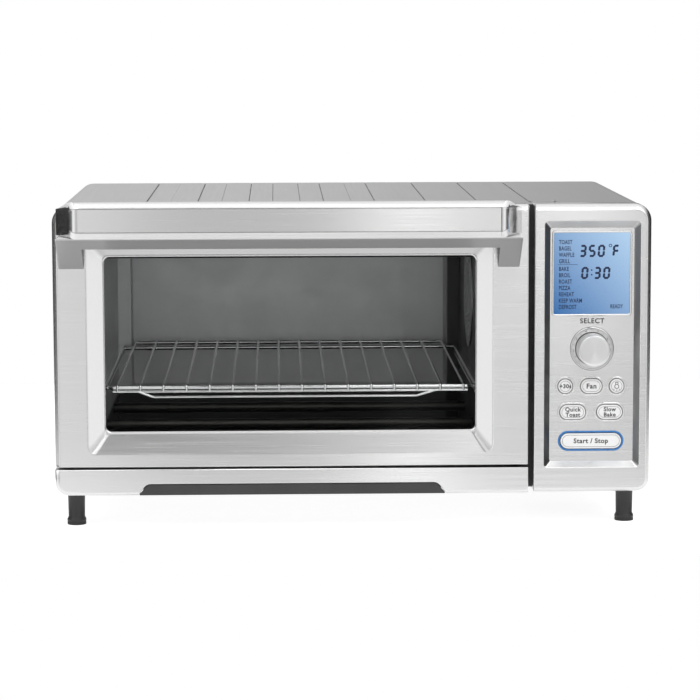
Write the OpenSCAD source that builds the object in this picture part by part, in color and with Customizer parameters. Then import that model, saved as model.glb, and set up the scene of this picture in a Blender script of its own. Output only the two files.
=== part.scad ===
// Countertop toaster oven: a steel box on four feet with a drop-down glass door on the left,
// a control column on the right and a shallow recess bulging out of the back of the cavity.
// Millimetres. +Z is up, the door faces -Y, +X is to the right when facing the door.
// The origin is the centre of the bounding box in X and Y, on the surface the feet rest on.

/* [Body] */
// Width of the body
body_w = 532; // [480:1:600]
// Depth of the body, without the handle and the rear recess
body_d = 345; // [320:1:400]
// Height of the top panel above the surface
body_h = 290; // [280:1:320]
// Height of the feet under the body
foot_h = 30.5; // [25:0.5:40]
// Sheet thickness of the casing
sheet_t = 1; // [0.8:0.1:1.5]
// Radius of the casing's long upper edges
top_r = 15; // [10:1:25]
// Radius of the casing's long lower edges
bottom_r = 12; // [8:1:18]
// Number of raised ribs along the top
rib_count = 9; // [5:1:11]
// Width of one rib
rib_w = 24; // [16:1:30]
// Distance from one rib to the next
rib_pitch = 46.1; // [36:0.1:48]

/* [Door] */
// Width of the door
door_w = 423; // [380:1:440]
// Thickness of the door
door_t = 21.5; // [18:0.5:22]
// Height of the fixed panel under the door, measured from its lower edge
base_h = 23.5; // [20:0.5:26]
// Width of the window
window_w = 331; // [280:1:340]
// Height of the window
window_h = 157; // [130:1:165]
// Depth of the bevel around the window
window_depth = 8; // [5:0.5:10]
// Thickness of the glass
glass_t = 4; // [3:0.5:5]
// How far the handle stands in front of the door
handle_reach = 42; // [36:1:50]
// Opening angle of the door that the hinge lugs leave room for
door_angle = 90; // [80:1:95]

/* [Cavity] */
// Inside width of the cavity
cavity_w = 345; // [320:1:350]
// How far the rear recess stands behind the body
recess_d = 43; // [35:1:50]
// Inside width of the rear recess
recess_w = 319; // [300:1:325]
// Number of wires along the rack
rack_wires = 16; // [12:1:18]
// Distance between the rack's wires
rack_pitch = 20.8; // [16:0.1:21]
// Radius of the heater tubes
heater_r = 5; // [3:0.5:6]

/* [Controls] */
// Depth of the bevel around the control panel
panel_depth = 6; // [4:0.5:8]
// Radius of the selector knob
knob_r = 14.4; // [12:0.1:16]
// Height of the selector knob
knob_h = 18; // [14:0.5:22]
// How far the buttons stand out of the control panel
button_proud = 1.8; // [1.4:0.1:3]

/* [Hidden] */

$fn = 48;
eps = 0.01;
gap = 0.2;          // between parts that are assembled side by side
hull_fn = 32;       // facets of the rounded corners inside a hull

// Main planes
half_w = body_w / 2;
total_d = handle_reach + body_d + recess_d;
front_y = handle_reach - total_d / 2;           // face of the door and of the control frame
rear_y = front_y + body_d;                      // back of the casing
back_y = rear_y + recess_d;                     // back of the recess cover
shell_y = front_y + 23;                         // front edge of the casing behind the door
rib_h = 1;
wrap_top = body_h - rib_h;
face_top = body_h - 0.5;                        // top of the door and of the control frame
face_t = 1.2;                                   // sheet thickness of the front pieces

// Door
door_x0 = -half_w;
door_x1 = door_x0 + door_w;
base_top = foot_h + base_h;
door_z0 = base_top + 1.7;
door_back = front_y + door_t;
door_edge_r = 2;
cavity_cx = (door_x0 + door_x1) / 2 - 1;        // centre of the window and of the cavity
window_lo = [cavity_cx - window_w / 2, 87];
window_hi = [cavity_cx + window_w / 2, 87 + window_h];
bevel_lo = window_lo - [15, 19.5];
bevel_hi = window_hi + [14.5, 18];
glass_lap = 8;                                  // how far the glass reaches past the window
glass_y = front_y + window_depth;
glass_back = glass_y + glass_t;
gasket_t = 3;

// Hinge, close to the door's lower front edge so that the open handle clears the table
hinge_y = front_y + 5;
hinge_z = door_z0 + 5;
pin_r = 2;
lug_r = 3.2;
lug_w = 8;
lug_xs = [door_x0 + 12, door_x1 - 11];          // centres of the two hinge lugs
knuckle_w = 4;

// Handle
handle_x0 = door_x0 + 4;
handle_x1 = door_x1 - 7;
handle_y = front_y - handle_reach;
handle_top = body_h + 5.5;
leg_w = [24, 21];                               // width of the left and the right leg
handle_screw_zs = [253, 273];
handle_screw_l = 11;                            // length of a screw inside the handle
handle_screw_xs = [handle_x0 + 12, handle_x1 - 10.5];

// Cavity
liner_t = 1;
cavity_x0 = cavity_cx - cavity_w / 2;
cavity_x1 = cavity_cx + cavity_w / 2;
cavity_z0 = 43;
cavity_z1 = 252;
cavity_back = rear_y - 5;                       // face of the main back wall
recess_x0 = cavity_cx - recess_w / 2;
recess_x1 = cavity_cx + recess_w / 2;
recess_z0 = 77;
recess_z1 = 250;
recess_back = back_y - 8;
frame_y = shell_y + 1.2;                        // back of the front frame
floor_hole = [[cavity_x0 + 50, -125], [cavity_x1 - 50, 145]];

// Heaters, fan, lamp and probe
heater_ys = [-33, 77];
heater_low_z = 74;
heater_high_z = 236;
holder_l = 10;
fan_y = 20;
fan_z = 192;
fan_r = 42;
fan_hole_r = 46;
shaft_r = 3;
shield_x = 150;
lamp_y = -100;
lamp_z = 215;
probe_y = 130;
probe_z = 238;
probe_r = 2.3;

// Rack
rack_z = 122.5;                                 // centre of the side rails
rail_r = 2;
wire_r = 1.3;
rack_front = frame_y + 7.8;
rack_back = recess_back - 6;
rack_side = cavity_w / 2 - 4.5;
wires_x0 = cavity_cx - (rack_wires - 1) * rack_pitch / 2;
guide_y1 = cavity_back - 4;

// Crumb tray
tray_x0 = cavity_x0 + 48;
tray_x1 = cavity_x1 - 45;
tray_z0 = 33.3;
tray_z1 = 40;
tray_back = 150;

// Control column
ctl_x0 = door_x1 + 4.5;
pocket_lo = [ctl_x0 + 9.2, 53];
pocket_hi = [half_w - 9.7, 274.5];
well_lo = pocket_lo + [5.5, 5];
well_hi = pocket_hi - [5.1, 6.5];
panel_y = front_y + panel_depth;                // face of the control panel
panel_t = 1.5;
lcd_lo = [179.5, 191];
lcd_hi = [247.2, 263.5];
knob_c = [213.9, 159.7];
board_y = front_y + 17;                         // face of the circuit board
lcd_t = 6;
lcd_back = panel_y + panel_t + 0.1 + lcd_t;     // back of the display module
button_back = board_y - 4;
round_r = 6.6;
pill_h = 13.4;
rim = 2.1;                                      // width of the rim around a button
// Each button: name, centre x, centre z, width, height
buttons = [["add_time", 190.2, 125.9, 2 * round_r, 2 * round_r],
    ["fan", 213.6, 125.9, 19.3, pill_h], ["lamp", 236.3, 125.9, 2 * round_r, 2 * round_r],
    ["toast", 197, 102.5, 23.2, pill_h], ["bake", 230.1, 102.5, 23.2, pill_h],
    ["start", 213.4, 76.4, 55, 14.2]];
start = 5;                                      // index of the start button

// Feet, screws and gland
foot_xs = [16.5 - half_w, half_w - 19];
foot_ys = [front_y + 30, rear_y - 30];
foot_r = 7.5;
pad_h = 3;
rear_flange = 12;
rear_screw_xz = concat(
    [for (x = [-1, 1], z = [62, 160, 256]) [x * (half_w - 7), z]],
    [for (x = [-190, -60, 70, 200]) [x, wrap_top - 7]]);
gland_c = [215, 62];
gland_r = 8;
gland_bore_r = 4;

// ---------- helpers ----------

// Rectangle with rounded corners: radii from the low-low corner, anticlockwise
module rounded(lo, hi, radii) {
    r = is_list(radii) ? radii : [radii, radii, radii, radii];
    corners = [[lo[0], lo[1], 0], [hi[0], lo[1], 90], [hi[0], hi[1], 180], [lo[0], hi[1], 270]];
    difference() {
        translate(lo) square(hi - lo);
        for (i = [0:3]) if (r[i] > 0)
            translate([corners[i][0], corners[i][1]]) rotate(corners[i][2]) difference() {
                translate([-1, -1]) square(r[i] + 1);
                translate([r[i], r[i]]) circle(r[i]);
            }
    }
}

// Pill centred on the origin
module pill(w, h) {
    if (w > h) {
        square([w - h, h], center = true);
        for (s = [-1, 1]) translate([s * (w - h) / 2, 0]) circle(h / 2);
    } else circle(h / 2);
}

// Outline in X and Z, given thickness t from y0 towards the back
module upright(y0, t) {
    translate([0, y0 + t, 0]) rotate([90, 0, 0]) linear_extrude(t) children();
}

// Outline in Y and Z, given thickness t from x0 to the right
module sideways(x0, t) {
    translate([x0, 0, 0]) rotate([90, 0, 90]) linear_extrude(t) children();
}

// Block from its lowest to its highest corner
module block(lo, hi) {
    translate(lo) cube(hi - lo);
}

// Round bar between two points
module bar(a, b, r) {
    d = b - a;
    translate(a) rotate([0, acos(d[2] / norm(d)), atan2(d[1], d[0])]) cylinder(h = norm(d), r = r);
}

// Cylinder along X or Y
module along_x(x0, x1, y, z, r) {
    translate([x0, y, z]) rotate([0, 90, 0]) cylinder(h = x1 - x0, r = r);
}
module along_y(y0, y1, x, z, r) {
    translate([x, y0, z]) rotate([-90, 0, 0]) cylinder(h = y1 - y0, r = r);
}

// Solid that narrows from a front rectangle to a back rectangle
module funnel(front_lo, front_hi, front_r, back_lo, back_hi, back_r, y0, depth) {
    hull($fn = hull_fn) {
        upright(y0 - eps, eps) rounded(front_lo, front_hi, front_r, $fn = hull_fn);
        upright(y0 + depth, eps) rounded(back_lo, back_hi, back_r, $fn = hull_fn);
    }
}

// Cross-section of the casing, drawn d inside its outer surface
module casing_outline(d) {
    rounded([d - half_w, foot_h + d], [half_w - d, wrap_top - d],
        [bottom_r - d, bottom_r - d, top_r - d, top_r - d]);
}

// ---------- casing ----------

module outer_wrap() {
    color("silver") difference() {
        union() {
            upright(shell_y, rear_y - shell_y) difference() {
                casing_outline(0);
                casing_outline(sheet_t);
                translate([rear_flange * 2 - half_w, 0]) square([body_w - rear_flange * 4, foot_h + 5]);
            }
            // flange inside the rear edge that takes the panel's screws
            upright(rear_y - 2 * sheet_t, sheet_t) difference() {
                casing_outline(sheet_t / 2);
                rounded([rear_flange - half_w, foot_h + rear_flange],
                    [half_w - rear_flange, wrap_top - rear_flange], 4);
                translate([rear_flange - half_w, 0]) square([body_w - rear_flange * 2, foot_h + 20]);
            }
            ribs();
        }
        for (x = foot_xs, y = foot_ys) translate([x, y, 0]) cylinder(h = foot_h + 5, r = 2.1);
        for (p = rear_screw_xz) along_y(rear_y - 5, rear_y + 5, p[0], p[1], 1.7);
        side_vents();
    }
}

// Raised ribs with round ends along the top
module ribs() {
    span = rib_pitch * (rib_count - 1);
    for (i = [0:rib_count - 1])
        translate([i * rib_pitch - span / 2 - 12.2, 0, wrap_top - sheet_t / 2])
            linear_extrude(rib_h + sheet_t / 2)
                rounded([-rib_w / 2, shell_y + 14], [rib_w / 2, rear_y - 16], 5);
}

// Cooling slots low on both sides and high on the right beside the electronics
module side_vents() {
    for (s = [-1, 1], i = [0:11])
        block([s * half_w - 4, -120 + i * 12, 60], [s * half_w + 4, -116 + i * 12, 92]);
    for (i = [0:11])
        block([half_w - 4, -10 + i * 12, 212], [half_w + 4, -6 + i * 12, 244]);
}

module rear_panel() {
    color("gainsboro") upright(rear_y - sheet_t, sheet_t) difference() {
        casing_outline(sheet_t + gap);
        rounded([recess_x0 - 5, recess_z0 - 4], [recess_x1 + 5, recess_z1 + 4], 12);
        for (i = [0:9], x = [150, 190]) translate([x, 110 + i * 12]) rounded([0, 0], [32, 4.5], 2.2);
        for (i = [0:13]) translate([i * 24 - 215, 56]) rounded([0, 0], [16, 4.5], 2.2);
        for (p = rear_screw_xz) translate(p) circle(1.7);
        translate(gland_c) circle(gland_r + 0.1);
    }
}

module recess_cover() {
    lo = [recess_x0 - 4, recess_z0 - 3];
    hi = [recess_x1 + 4, recess_z1 + 3];
    rim = [9, 9];
    color("gainsboro") difference() {
        union() {
            upright(rear_y, sheet_t) rounded(lo - rim, hi + rim, 14);
            upright(rear_y, recess_d - 6) rounded(lo, hi, 12);
            funnel(lo, hi, 12, lo + [5, 5], hi - [5, 5], 10, back_y - 6, 6 - eps);
        }
        upright(rear_y - 1, recess_d - 5) rounded(lo + [1, 1], hi - [1, 1], 11);
        funnel(lo + [1, 1], hi - [1, 1], 11, lo + [6, 6], hi - [6, 6], 9, back_y - 6.5, 5.5);
    }
}

module base_pan() {
    edge = half_w - bottom_r - 0.5;
    color("darkgray") difference() {
        union() {
            block([-edge, shell_y + 2, foot_h + sheet_t], [edge, rear_y - 2.5, foot_h + 2 * sheet_t]);
            for (x = [tray_x0 - 3, tray_x1 + 2])
                block([x, shell_y + 2, foot_h + sheet_t], [x + 1, tray_back, cavity_z0 - 1.2]);
        }
        for (x = foot_xs, y = foot_ys) translate([x, y, 0]) cylinder(h = foot_h + 5, r = 2.1);
        for (i = [0:9], y = [-110, 40]) translate([i * 8 + 165, y, 0])
            linear_extrude(foot_h + 5) rounded([0, 0], [3.5, 60], 1.7);
    }
}

// Fixed panel under the door, with a notch for the crumb tray
module base_front_panel() {
    x0 = -half_w;
    color("silver") difference() {
        upright(front_y, shell_y - front_y) rounded([x0, foot_h], [door_x1, base_top],
            [bottom_r, 1, 1, 1]);
        upright(front_y + face_t, shell_y - front_y) rounded([x0 + face_t, foot_h + face_t],
            [door_x1 - face_t, base_top - face_t], [bottom_r - face_t, 0, 0, 0]);
        upright(front_y - 1, shell_y - front_y + 2) tray_notch(0.6);
    }
}

// Trapezoid of the tray's front, drawn c larger all round
module tray_notch(c) {
    polygon([[tray_x0 - 11 - c, foot_h - 1], [tray_x1 + 10 + c, foot_h - 1],
        [tray_x1 + 10 + c, foot_h + 1.5], [tray_x1 + 2 + c, tray_z1 + c],
        [tray_x0 - 2 - c, tray_z1 + c], [tray_x0 - 11 - c, foot_h + 1.5]]);
}

// Dark plate that the door closes against, with the two hinge lugs
module front_frame() {
    color("dimgray") difference() {
        union() {
            upright(shell_y, frame_y - shell_y) difference() {
                rounded([sheet_t + 1 - half_w, foot_h + 16], [ctl_x0 + 2, wrap_top - sheet_t - 0.5],
                    [0, 0, 0, top_r - 2]);
                rounded([cavity_x0, 66], [cavity_x1, cavity_z1], 3);
            }
            // tab that closes the slit between the base panel and the control frame
            upright(shell_y, frame_y - shell_y) rounded([door_x1 - 6, foot_h + 2.5],
                [ctl_x0 + 2, foot_h + 17], 0);
            for (x = lug_xs) {
                block([x - lug_w / 2, hinge_y, hinge_z - lug_r], [x + lug_w / 2, shell_y + eps, hinge_z + lug_r]);
                along_x(x - lug_w / 2, x + lug_w / 2, hinge_y, hinge_z, lug_r);
            }
        }
        for (x = lug_xs) along_x(x - lug_w, x + lug_w, hinge_y, hinge_z, pin_r + 0.05);
    }
}

// ---------- cavity ----------

module cavity_liner() {
    color("slategray") difference() {
        union() {
            block([cavity_x0 - liner_t, frame_y, cavity_z0 - liner_t],
                [cavity_x1 + liner_t, cavity_back + liner_t, cavity_z1 + liner_t]);
            upright(cavity_back, recess_back + liner_t - cavity_back)
                rounded([recess_x0 - liner_t, recess_z0 - liner_t],
                    [recess_x1 + liner_t, recess_z1 + liner_t], 9 + liner_t);
        }
        block([cavity_x0, frame_y - 1, cavity_z0], [cavity_x1, cavity_back, cavity_z1]);
        upright(cavity_back - 1, recess_back + 1 - cavity_back)
            rounded([recess_x0, recess_z0], [recess_x1, recess_z1], 9);
        translate([0, 0, cavity_z0 - 5]) linear_extrude(10) rounded(floor_hole[0], floor_hole[1], 8);
        for (y = heater_ys, z = [heater_low_z, heater_high_z])
            along_x(cavity_x0 - 5, cavity_x1 + 5, y, z, heater_r + 0.3);
        along_x(cavity_x1 - 5, cavity_x1 + 5, fan_y, fan_z, fan_hole_r);
        along_x(cavity_x1 - 5, cavity_x1 + 5, lamp_y, lamp_z, 15);
        along_x(cavity_x1 - 5, cavity_x1 + 5, probe_y, probe_z, probe_r + 0.2);
    }
}

module heat_shield() {
    color("lightsteelblue") difference() {
        block([shield_x, shell_y + 2, foot_h + 3.5], [shield_x + 1, rear_y - 3, wrap_top - 3]);
        along_x(shield_x - 5, shield_x + 5, fan_y, fan_z, 10);
        for (i = [0:5]) block([shield_x - 5, -100 + i * 20, 60], [shield_x + 5, -92 + i * 20, 110]);
    }
}

// Channel that a rack side rail slides in; side is -1 on the left wall and 1 on the right
module rack_guide(side) {
    wall = cavity_cx + side * cavity_w / 2;
    low = rack_z - rail_r - 1.3;
    color("silver") mirror([side < 0 ? 0 : 1, 0, 0]) translate([side < 0 ? wall : -wall, 0, 0]) {
        block([0, frame_y + 4, low - 1], [1, guide_y1, low + 8]);
        block([0, frame_y + 4, low - 1], [6.5, guide_y1, low + 1]);
        block([0, frame_y + 4, low + 7], [6.5, guide_y1, low + 8]);
    }
}
module rack_guide_left() { rack_guide(-1); }
module rack_guide_right() { rack_guide(1); }

module heater(y, z) {
    color("whitesmoke") along_x(cavity_x0 - holder_l - 3, cavity_x1 + holder_l + 3, y, z, heater_r);
}
module heater_upper_front() { heater(heater_ys[0], heater_high_z); }
module heater_upper_rear() { heater(heater_ys[1], heater_high_z); }
module heater_lower_front() { heater(heater_ys[0], heater_low_z); }
module heater_lower_rear() { heater(heater_ys[1], heater_low_z); }

// Ceramic holders outside the side walls, one at each end of each heater
module heater_holders() {
    color("ivory") for (y = heater_ys, z = [heater_low_z, heater_high_z],
            x = [cavity_x0 - liner_t - holder_l, cavity_x1 + liner_t])
        difference() {
            along_x(x, x + holder_l, y, z, heater_r + 4);
            along_x(x - 1, x + holder_l + 1, y, z, heater_r + 0.1);
        }
}

module fan_housing() {
    x0 = cavity_x1 + liner_t;
    color("silver") difference() {
        union() {
            along_x(x0, x0 + 1, fan_y, fan_z, fan_hole_r + 8);
            along_x(x0, x0 + 17, fan_y, fan_z, fan_hole_r + 1);
        }
        along_x(x0 - 1, x0 + 16, fan_y, fan_z, fan_hole_r);
        along_x(x0, x0 + 20, fan_y, fan_z, shaft_r + 2);
    }
}

// Perforated cover over the fan, on the cavity's right wall
module fan_grille() {
    color("silver") difference() {
        along_x(cavity_x1 - 1.2, cavity_x1, fan_y, fan_z, fan_hole_r + 6);
        for (ring = [1:4], k = [0:ring * 6 - 1]) rotate_about_fan(k * 60 / ring)
            along_x(cavity_x1 - 5, cavity_x1 + 5, fan_y, fan_z + ring * 10, 3.4, $fn = 24);
    }
}

module rotate_about_fan(a) {
    translate([0, fan_y, fan_z]) rotate([a, 0, 0]) translate([0, -fan_y, -fan_z]) children();
}

// Flat hub with blades; bore is a close fit on the shaft
module impeller(x, w, r, blades) {
    difference() {
        union() {
            along_x(x, x + w, fan_y, fan_z, 9);
            along_x(x + w - 1.2, x + w, fan_y, fan_z, r - 8);
            for (i = [0:blades - 1]) rotate_about_fan(i * 360 / blades)
                block([x, fan_y - 0.8, fan_z + 7], [x + w, fan_y + 0.8, fan_z + r]);
        }
        along_x(x - 1, x + w + 1, fan_y, fan_z, shaft_r + 0.02);
    }
}
module convection_fan() { color("lightgray") impeller(cavity_x1 + 4, 10, fan_r, 8); }
module cooling_fan() { color("lightgray") impeller(shield_x - 12, 8, 36, 10); }
module fan_shaft() {
    color("gray") along_x(cavity_x1 + 3, shield_x + 24, fan_y, fan_z, shaft_r);
}

module motor_bracket() {
    color("silver") difference() {
        block([shield_x + 1, fan_y - 42, fan_z - 34], [shield_x + 3, fan_y + 42, fan_z + 34]);
        along_x(shield_x, shield_x + 5, fan_y, fan_z, 10);
        for (s = [-1, 1]) along_x(shield_x, shield_x + 5, fan_y + s * 36, fan_z, 2.2);
    }
}

module fan_motor() {
    color("dimgray") difference() {
        union() {
            block([shield_x + 3, fan_y - 26, fan_z - 26], [shield_x + 12, fan_y + 26, fan_z + 26]);
            along_x(shield_x + 3, shield_x + 34, fan_y, fan_z, 22);
        }
        along_x(shield_x, shield_x + 26, fan_y, fan_z, shaft_r + 0.05);
    }
}

module lamp_socket() {
    x0 = cavity_x1 + liner_t;
    color("ivory") difference() {
        union() {
            along_x(x0, x0 + 1.5, lamp_y, lamp_z, 21);
            along_x(x0, x0 + 28, lamp_y, lamp_z, 16.5);
        }
        along_x(x0 - 1, x0 + 24, lamp_y, lamp_z, 14.5);
        along_x(x0, x0 + 40, lamp_y, lamp_z, 5);
    }
}

module lamp_bulb() {
    bulb_r = 8.5;
    centre = 10;
    neck_angle = 55;        // where the globe meets the neck
    globe = [for (k = [0:10]) let (a = -90 + (90 + neck_angle) * k / 10)
        [bulb_r * cos(a), centre + bulb_r * sin(a)]];
    neck = [[bulb_r * cos(neck_angle), 26], [0, 26]];
    color("white") translate([cavity_x1 + liner_t, lamp_y, lamp_z]) rotate([0, 90, 0])
        rotate_extrude() polygon(concat(globe, neck));
}

module lamp_lens() {
    color("lightcyan") difference() {
        along_x(cavity_x1 - 2, cavity_x1, lamp_y, lamp_z, 18);
        along_x(cavity_x1 - 0.8, cavity_x1 + 1, lamp_y, lamp_z, 13);
    }
}

module temperature_probe() {
    color("silver") {
        along_x(cavity_x1 - 28, cavity_x1 + 14, probe_y, probe_z, probe_r);
        along_x(cavity_x1 + liner_t, cavity_x1 + 5, probe_y, probe_z, 6);
    }
}

// ---------- control column ----------

module control_frame() {
    radii = [1, bottom_r, top_r, 1];
    inner = [0, bottom_r - face_t, top_r - face_t, 0];
    w = [face_t, face_t];
    lo = [ctl_x0, foot_h + 0.3];
    hi = [half_w, face_top];
    color("silver") difference() {
        upright(front_y, shell_y - front_y) rounded(lo, hi, radii);
        difference() {
            upright(front_y + face_t, shell_y - front_y) rounded(lo + w, hi - w, inner);
            funnel(pocket_lo - w, pocket_hi + w, 4, well_lo - w, well_hi + w, 3, front_y, panel_depth - eps);
        }
        funnel(pocket_lo, pocket_hi, 3.5, well_lo, well_hi, 2, front_y - eps, panel_depth + 2 * eps);
    }
}

module control_panel() {
    lap = [3, 3];
    color("silver") upright(panel_y, panel_t) difference() {
        rounded(well_lo - lap, well_hi + lap, 2);
        rounded(lcd_lo - [1, 1], lcd_hi + [1, 1], 1.5);
        translate(knob_c) circle(5);
        for (b = buttons) translate([b[1], b[2]]) pill(b[3] + 0.6, b[4] + 0.6);
    }
}

module display_bezel() {
    color("silver") upright(panel_y - 1.2, 1.2) difference() {
        rounded(lcd_lo - [2, 2], lcd_hi + [2, 2], 3);
        rounded(lcd_lo, lcd_hi, 1.5);
    }
}

module display_window() {
    color("lightblue") upright(panel_y, 1.2) rounded(lcd_lo - [0.8, 0.8], lcd_hi + [0.8, 0.8], 1.3);
}

module display_lcd() {
    color("steelblue") upright(lcd_back - lcd_t, lcd_t) rounded(lcd_lo - [4, 4], lcd_hi + [3, 3], 1);
}

module control_board() {
    color("darkgreen") {
        upright(board_y, 1.6) rounded([ctl_x0 + 5, 48], [half_w - 5, 276], 2);
        for (b = buttons) along_y(board_y - 2.4, board_y + 0.5, b[1], b[2], 3);
        // spacer that carries the display
        upright(lcd_back, board_y - lcd_back) rounded(lcd_lo + [6, 8], lcd_hi - [6, 8], 0.5);
    }
}

module encoder() {
    color("gray") difference() {
        union() {
            upright(panel_y + panel_t, board_y - panel_y - panel_t)
                rounded(knob_c - [7, 7], knob_c + [7, 7], 1);
            along_y(panel_y - 0.8, board_y, knob_c[0], knob_c[1], 4.8);
        }
        along_y(panel_y - 5, board_y - 1, knob_c[0], knob_c[1], shaft_r + 0.05);
    }
}

// Knob with its stub shaft
module selector_knob() {
    y0 = panel_y - 2.5 - knob_h;
    color("lightgray") difference() {
        union() {
            translate([knob_c[0], y0, knob_c[1]]) rotate([-90, 0, 0]) rotate_extrude($fn = 64)
                polygon([[0, 0], [knob_r - 2.4, 0], [knob_r - 1.2, 0.5], [knob_r - 0.6, 1.6],
                    [knob_r, knob_h], [0, knob_h]]);
            along_y(y0 + 4, board_y - 2, knob_c[0], knob_c[1], shaft_r);
        }
        difference() {
            along_y(y0 + 3, panel_y, knob_c[0], knob_c[1], knob_r - 2);
            along_y(y0, panel_y, knob_c[0], knob_c[1], 5.5);
        }
        difference() {
            along_y(panel_y - 3.5, panel_y + 1, knob_c[0], knob_c[1], 7);
            along_y(panel_y - 5, panel_y + 2, knob_c[0], knob_c[1], shaft_r);
        }
    }
}

// Raised rim around button i
module button_rim(i) {
    b = buttons[i];
    upright(panel_y - 0.8, 0.8) translate([b[1], b[2]]) difference() {
        pill(b[3] + 2 * rim, b[4] + 2 * rim);
        pill(b[3] + 0.6, b[4] + 0.6);
    }
}
module button_rings() { color("silver") for (i = [0:start - 1]) button_rim(i); }
module start_ring() { color("steelblue") button_rim(start); }

// Cap, retaining collar behind the panel and the stem that reaches the switch
module button(i) {
    b = buttons[i];
    color("whitesmoke") {
        upright(panel_y - button_proud, button_proud + panel_t + 0.3)
            translate([b[1], b[2]]) pill(b[3], b[4]);
        upright(panel_y + panel_t + 0.2, 1.2) translate([b[1], b[2]]) pill(b[3] + 2.4, b[4] + 2.4);
        along_y(panel_y + panel_t + 1, button_back, b[1], b[2], 2.5);
    }
}
module button_add_time() { button(0); }
module button_fan() { button(1); }
module button_lamp() { button(2); }
module button_toast() { button(3); }
module button_bake() { button(4); }
module button_start() { button(5); }

// Mains board on four posts in the bottom of the control column
module power_board() {
    lo = [165, -90];
    hi = [250, 70];
    z = 62;
    color("darkgreen") {
        block([lo[0], lo[1], z], [hi[0], hi[1], z + 1.6]);
        for (x = [lo[0] + 6, hi[0] - 6], y = [lo[1] + 6, hi[1] - 6])
            translate([x, y, foot_h + 2 * sheet_t]) cylinder(h = z - foot_h - 2 * sheet_t + 0.5, r = 4);
        for (i = [0:2]) block([175, -75 + i * 26, z + 1], [192, -55 + i * 26, z + 17]);
        block([205, -70, z + 1], [243, -28, z + 34]);
        for (i = [0:1]) translate([212 + i * 20, 0, z + 1]) cylinder(h = 24, r = 8);
        block([190, 40, z + 1], [235, 54, z + 15]);
    }
}

// Strain-relief gland in the rear panel, open for a mains lead
module cord_gland() {
    color("black") difference() {
        union() {
            along_y(rear_y - 14, rear_y + 6, gland_c[0], gland_c[1], gland_r);
            along_y(rear_y, rear_y + 3, gland_c[0], gland_c[1], gland_r + 4);
            along_y(rear_y - sheet_t - 6, rear_y - sheet_t, gland_c[0], gland_c[1], gland_r + 3);
        }
        along_y(rear_y - 20, rear_y + 10, gland_c[0], gland_c[1], gland_bore_r);
    }
}

// ---------- feet and screws ----------

module foot(ix, iy) {
    color("black") translate([foot_xs[ix], foot_ys[iy], 0]) difference() {
        union() {
            translate([0, 0, pad_h]) cylinder(h = foot_h - pad_h, r = foot_r);
            translate([0, 0, foot_h - 3]) cylinder(h = 3, r = foot_r + 1.5);
            translate([0, 0, pad_h]) cylinder(h = 4, r = foot_r + 0.6);
        }
        cylinder(h = 14, r = 4.5);
        cylinder(h = foot_h + 5, r = 2.1);
    }
}
module foot_front_left() { foot(0, 0); }
module foot_front_right() { foot(1, 0); }
module foot_rear_left() { foot(0, 1); }
module foot_rear_right() { foot(1, 1); }

module foot_pads() {
    color("dimgray") for (x = foot_xs, y = foot_ys) translate([x, y, 0]) difference() {
        cylinder(h = pad_h, r = foot_r + 1);
        translate([0, 0, -1]) cylinder(h = pad_h + 2, r = 4.5);
    }
}

module foot_screws() {
    color("silver") for (x = foot_xs, y = foot_ys) translate([x, y, 0]) {
        translate([0, 0, 11.2]) cylinder(h = 2.8, r = 4);
        translate([0, 0, 13]) cylinder(h = foot_h - 13 + 5, r = 2);
    }
}

module rear_screws() {
    color("silver") for (p = rear_screw_xz) {
        along_y(rear_y, rear_y + 2, p[0], p[1], 3.4);
        along_y(rear_y - 8, rear_y + 1, p[0], p[1], 1.6);
    }
}

module handle_screws() {
    color("silver") for (x = handle_screw_xs, z = handle_screw_zs) {
        along_y(front_y + face_t, front_y + face_t + 2.6, x, z, 3.6);
        along_y(front_y - handle_screw_l, front_y + face_t + 1, x, z, 2);
    }
}

// ---------- door ----------

// Outer shell of the door: face, edges, window bevel, glass ledge and hinge knuckles
module door_frame() {
    w = [face_t, face_t];
    lap = [glass_lap, glass_lap];
    lo = [door_x0, door_z0];
    hi = [door_x1, face_top];
    color("silver") difference() {
        union() {
            difference() {
                door_slab(lo, hi);
                upright(front_y + face_t, door_t) rounded(lo + w, hi - w, [0, 0, 0, top_r - face_t]);
            }
            intersection() {
                funnel(bevel_lo - w, bevel_hi + w, 9, window_lo - w, window_hi + w, 6,
                    front_y, window_depth - eps);
                upright(front_y + face_t / 2, door_t) translate(lo) square(hi - lo);
            }
            upright(glass_y - face_t, face_t) rounded(window_lo - lap, window_hi + lap, 6);
            for (x = lug_xs, s = [-1, 1]) knuckle(x + s * (lug_w / 2 + 1 + knuckle_w / 2));
        }
        funnel(bevel_lo, bevel_hi, 8, window_lo, window_hi, 5.3, front_y - eps, window_depth + 2 * eps);
        for (x = lug_xs) {
            lug_pocket(x);
            along_x(x - 12, x + 12, hinge_y, hinge_z, pin_r + 0.02);
        }
        for (x = handle_screw_xs, z = handle_screw_zs) along_y(front_y - 1, front_y + 5, x, z, 2.1);
    }
}

// Solid door with its lower front edge rounded
module door_slab(lo, hi) {
    r = door_edge_r;
    upright(front_y + r, door_t - r) rounded(lo, hi, [0, 0, 0, top_r]);
    upright(front_y, r) rounded(lo + [0, r], hi, [0, 0, 0, top_r]);
    intersection() {
        along_x(lo[0], hi[0], front_y + r, lo[1] + r, r);
        block([lo[0], front_y, lo[1]], [hi[0], front_y + r, lo[1] + r]);
    }
}

// Tab that carries one end of a hinge pin
module knuckle(x) {
    block([x - knuckle_w / 2, front_y + 0.6, door_z0 + 0.6], [x + knuckle_w / 2, hinge_y + 5, hinge_z + 6]);
}

// Room for a hinge lug, open to the bottom and the back of the door
module lug_pocket(x) {
    block([x - lug_w / 2 - 1, front_y + face_t, door_z0 - 1],
        [x + lug_w / 2 + 1, door_back + 1, hinge_z + lug_r + 1]);
}

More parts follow.
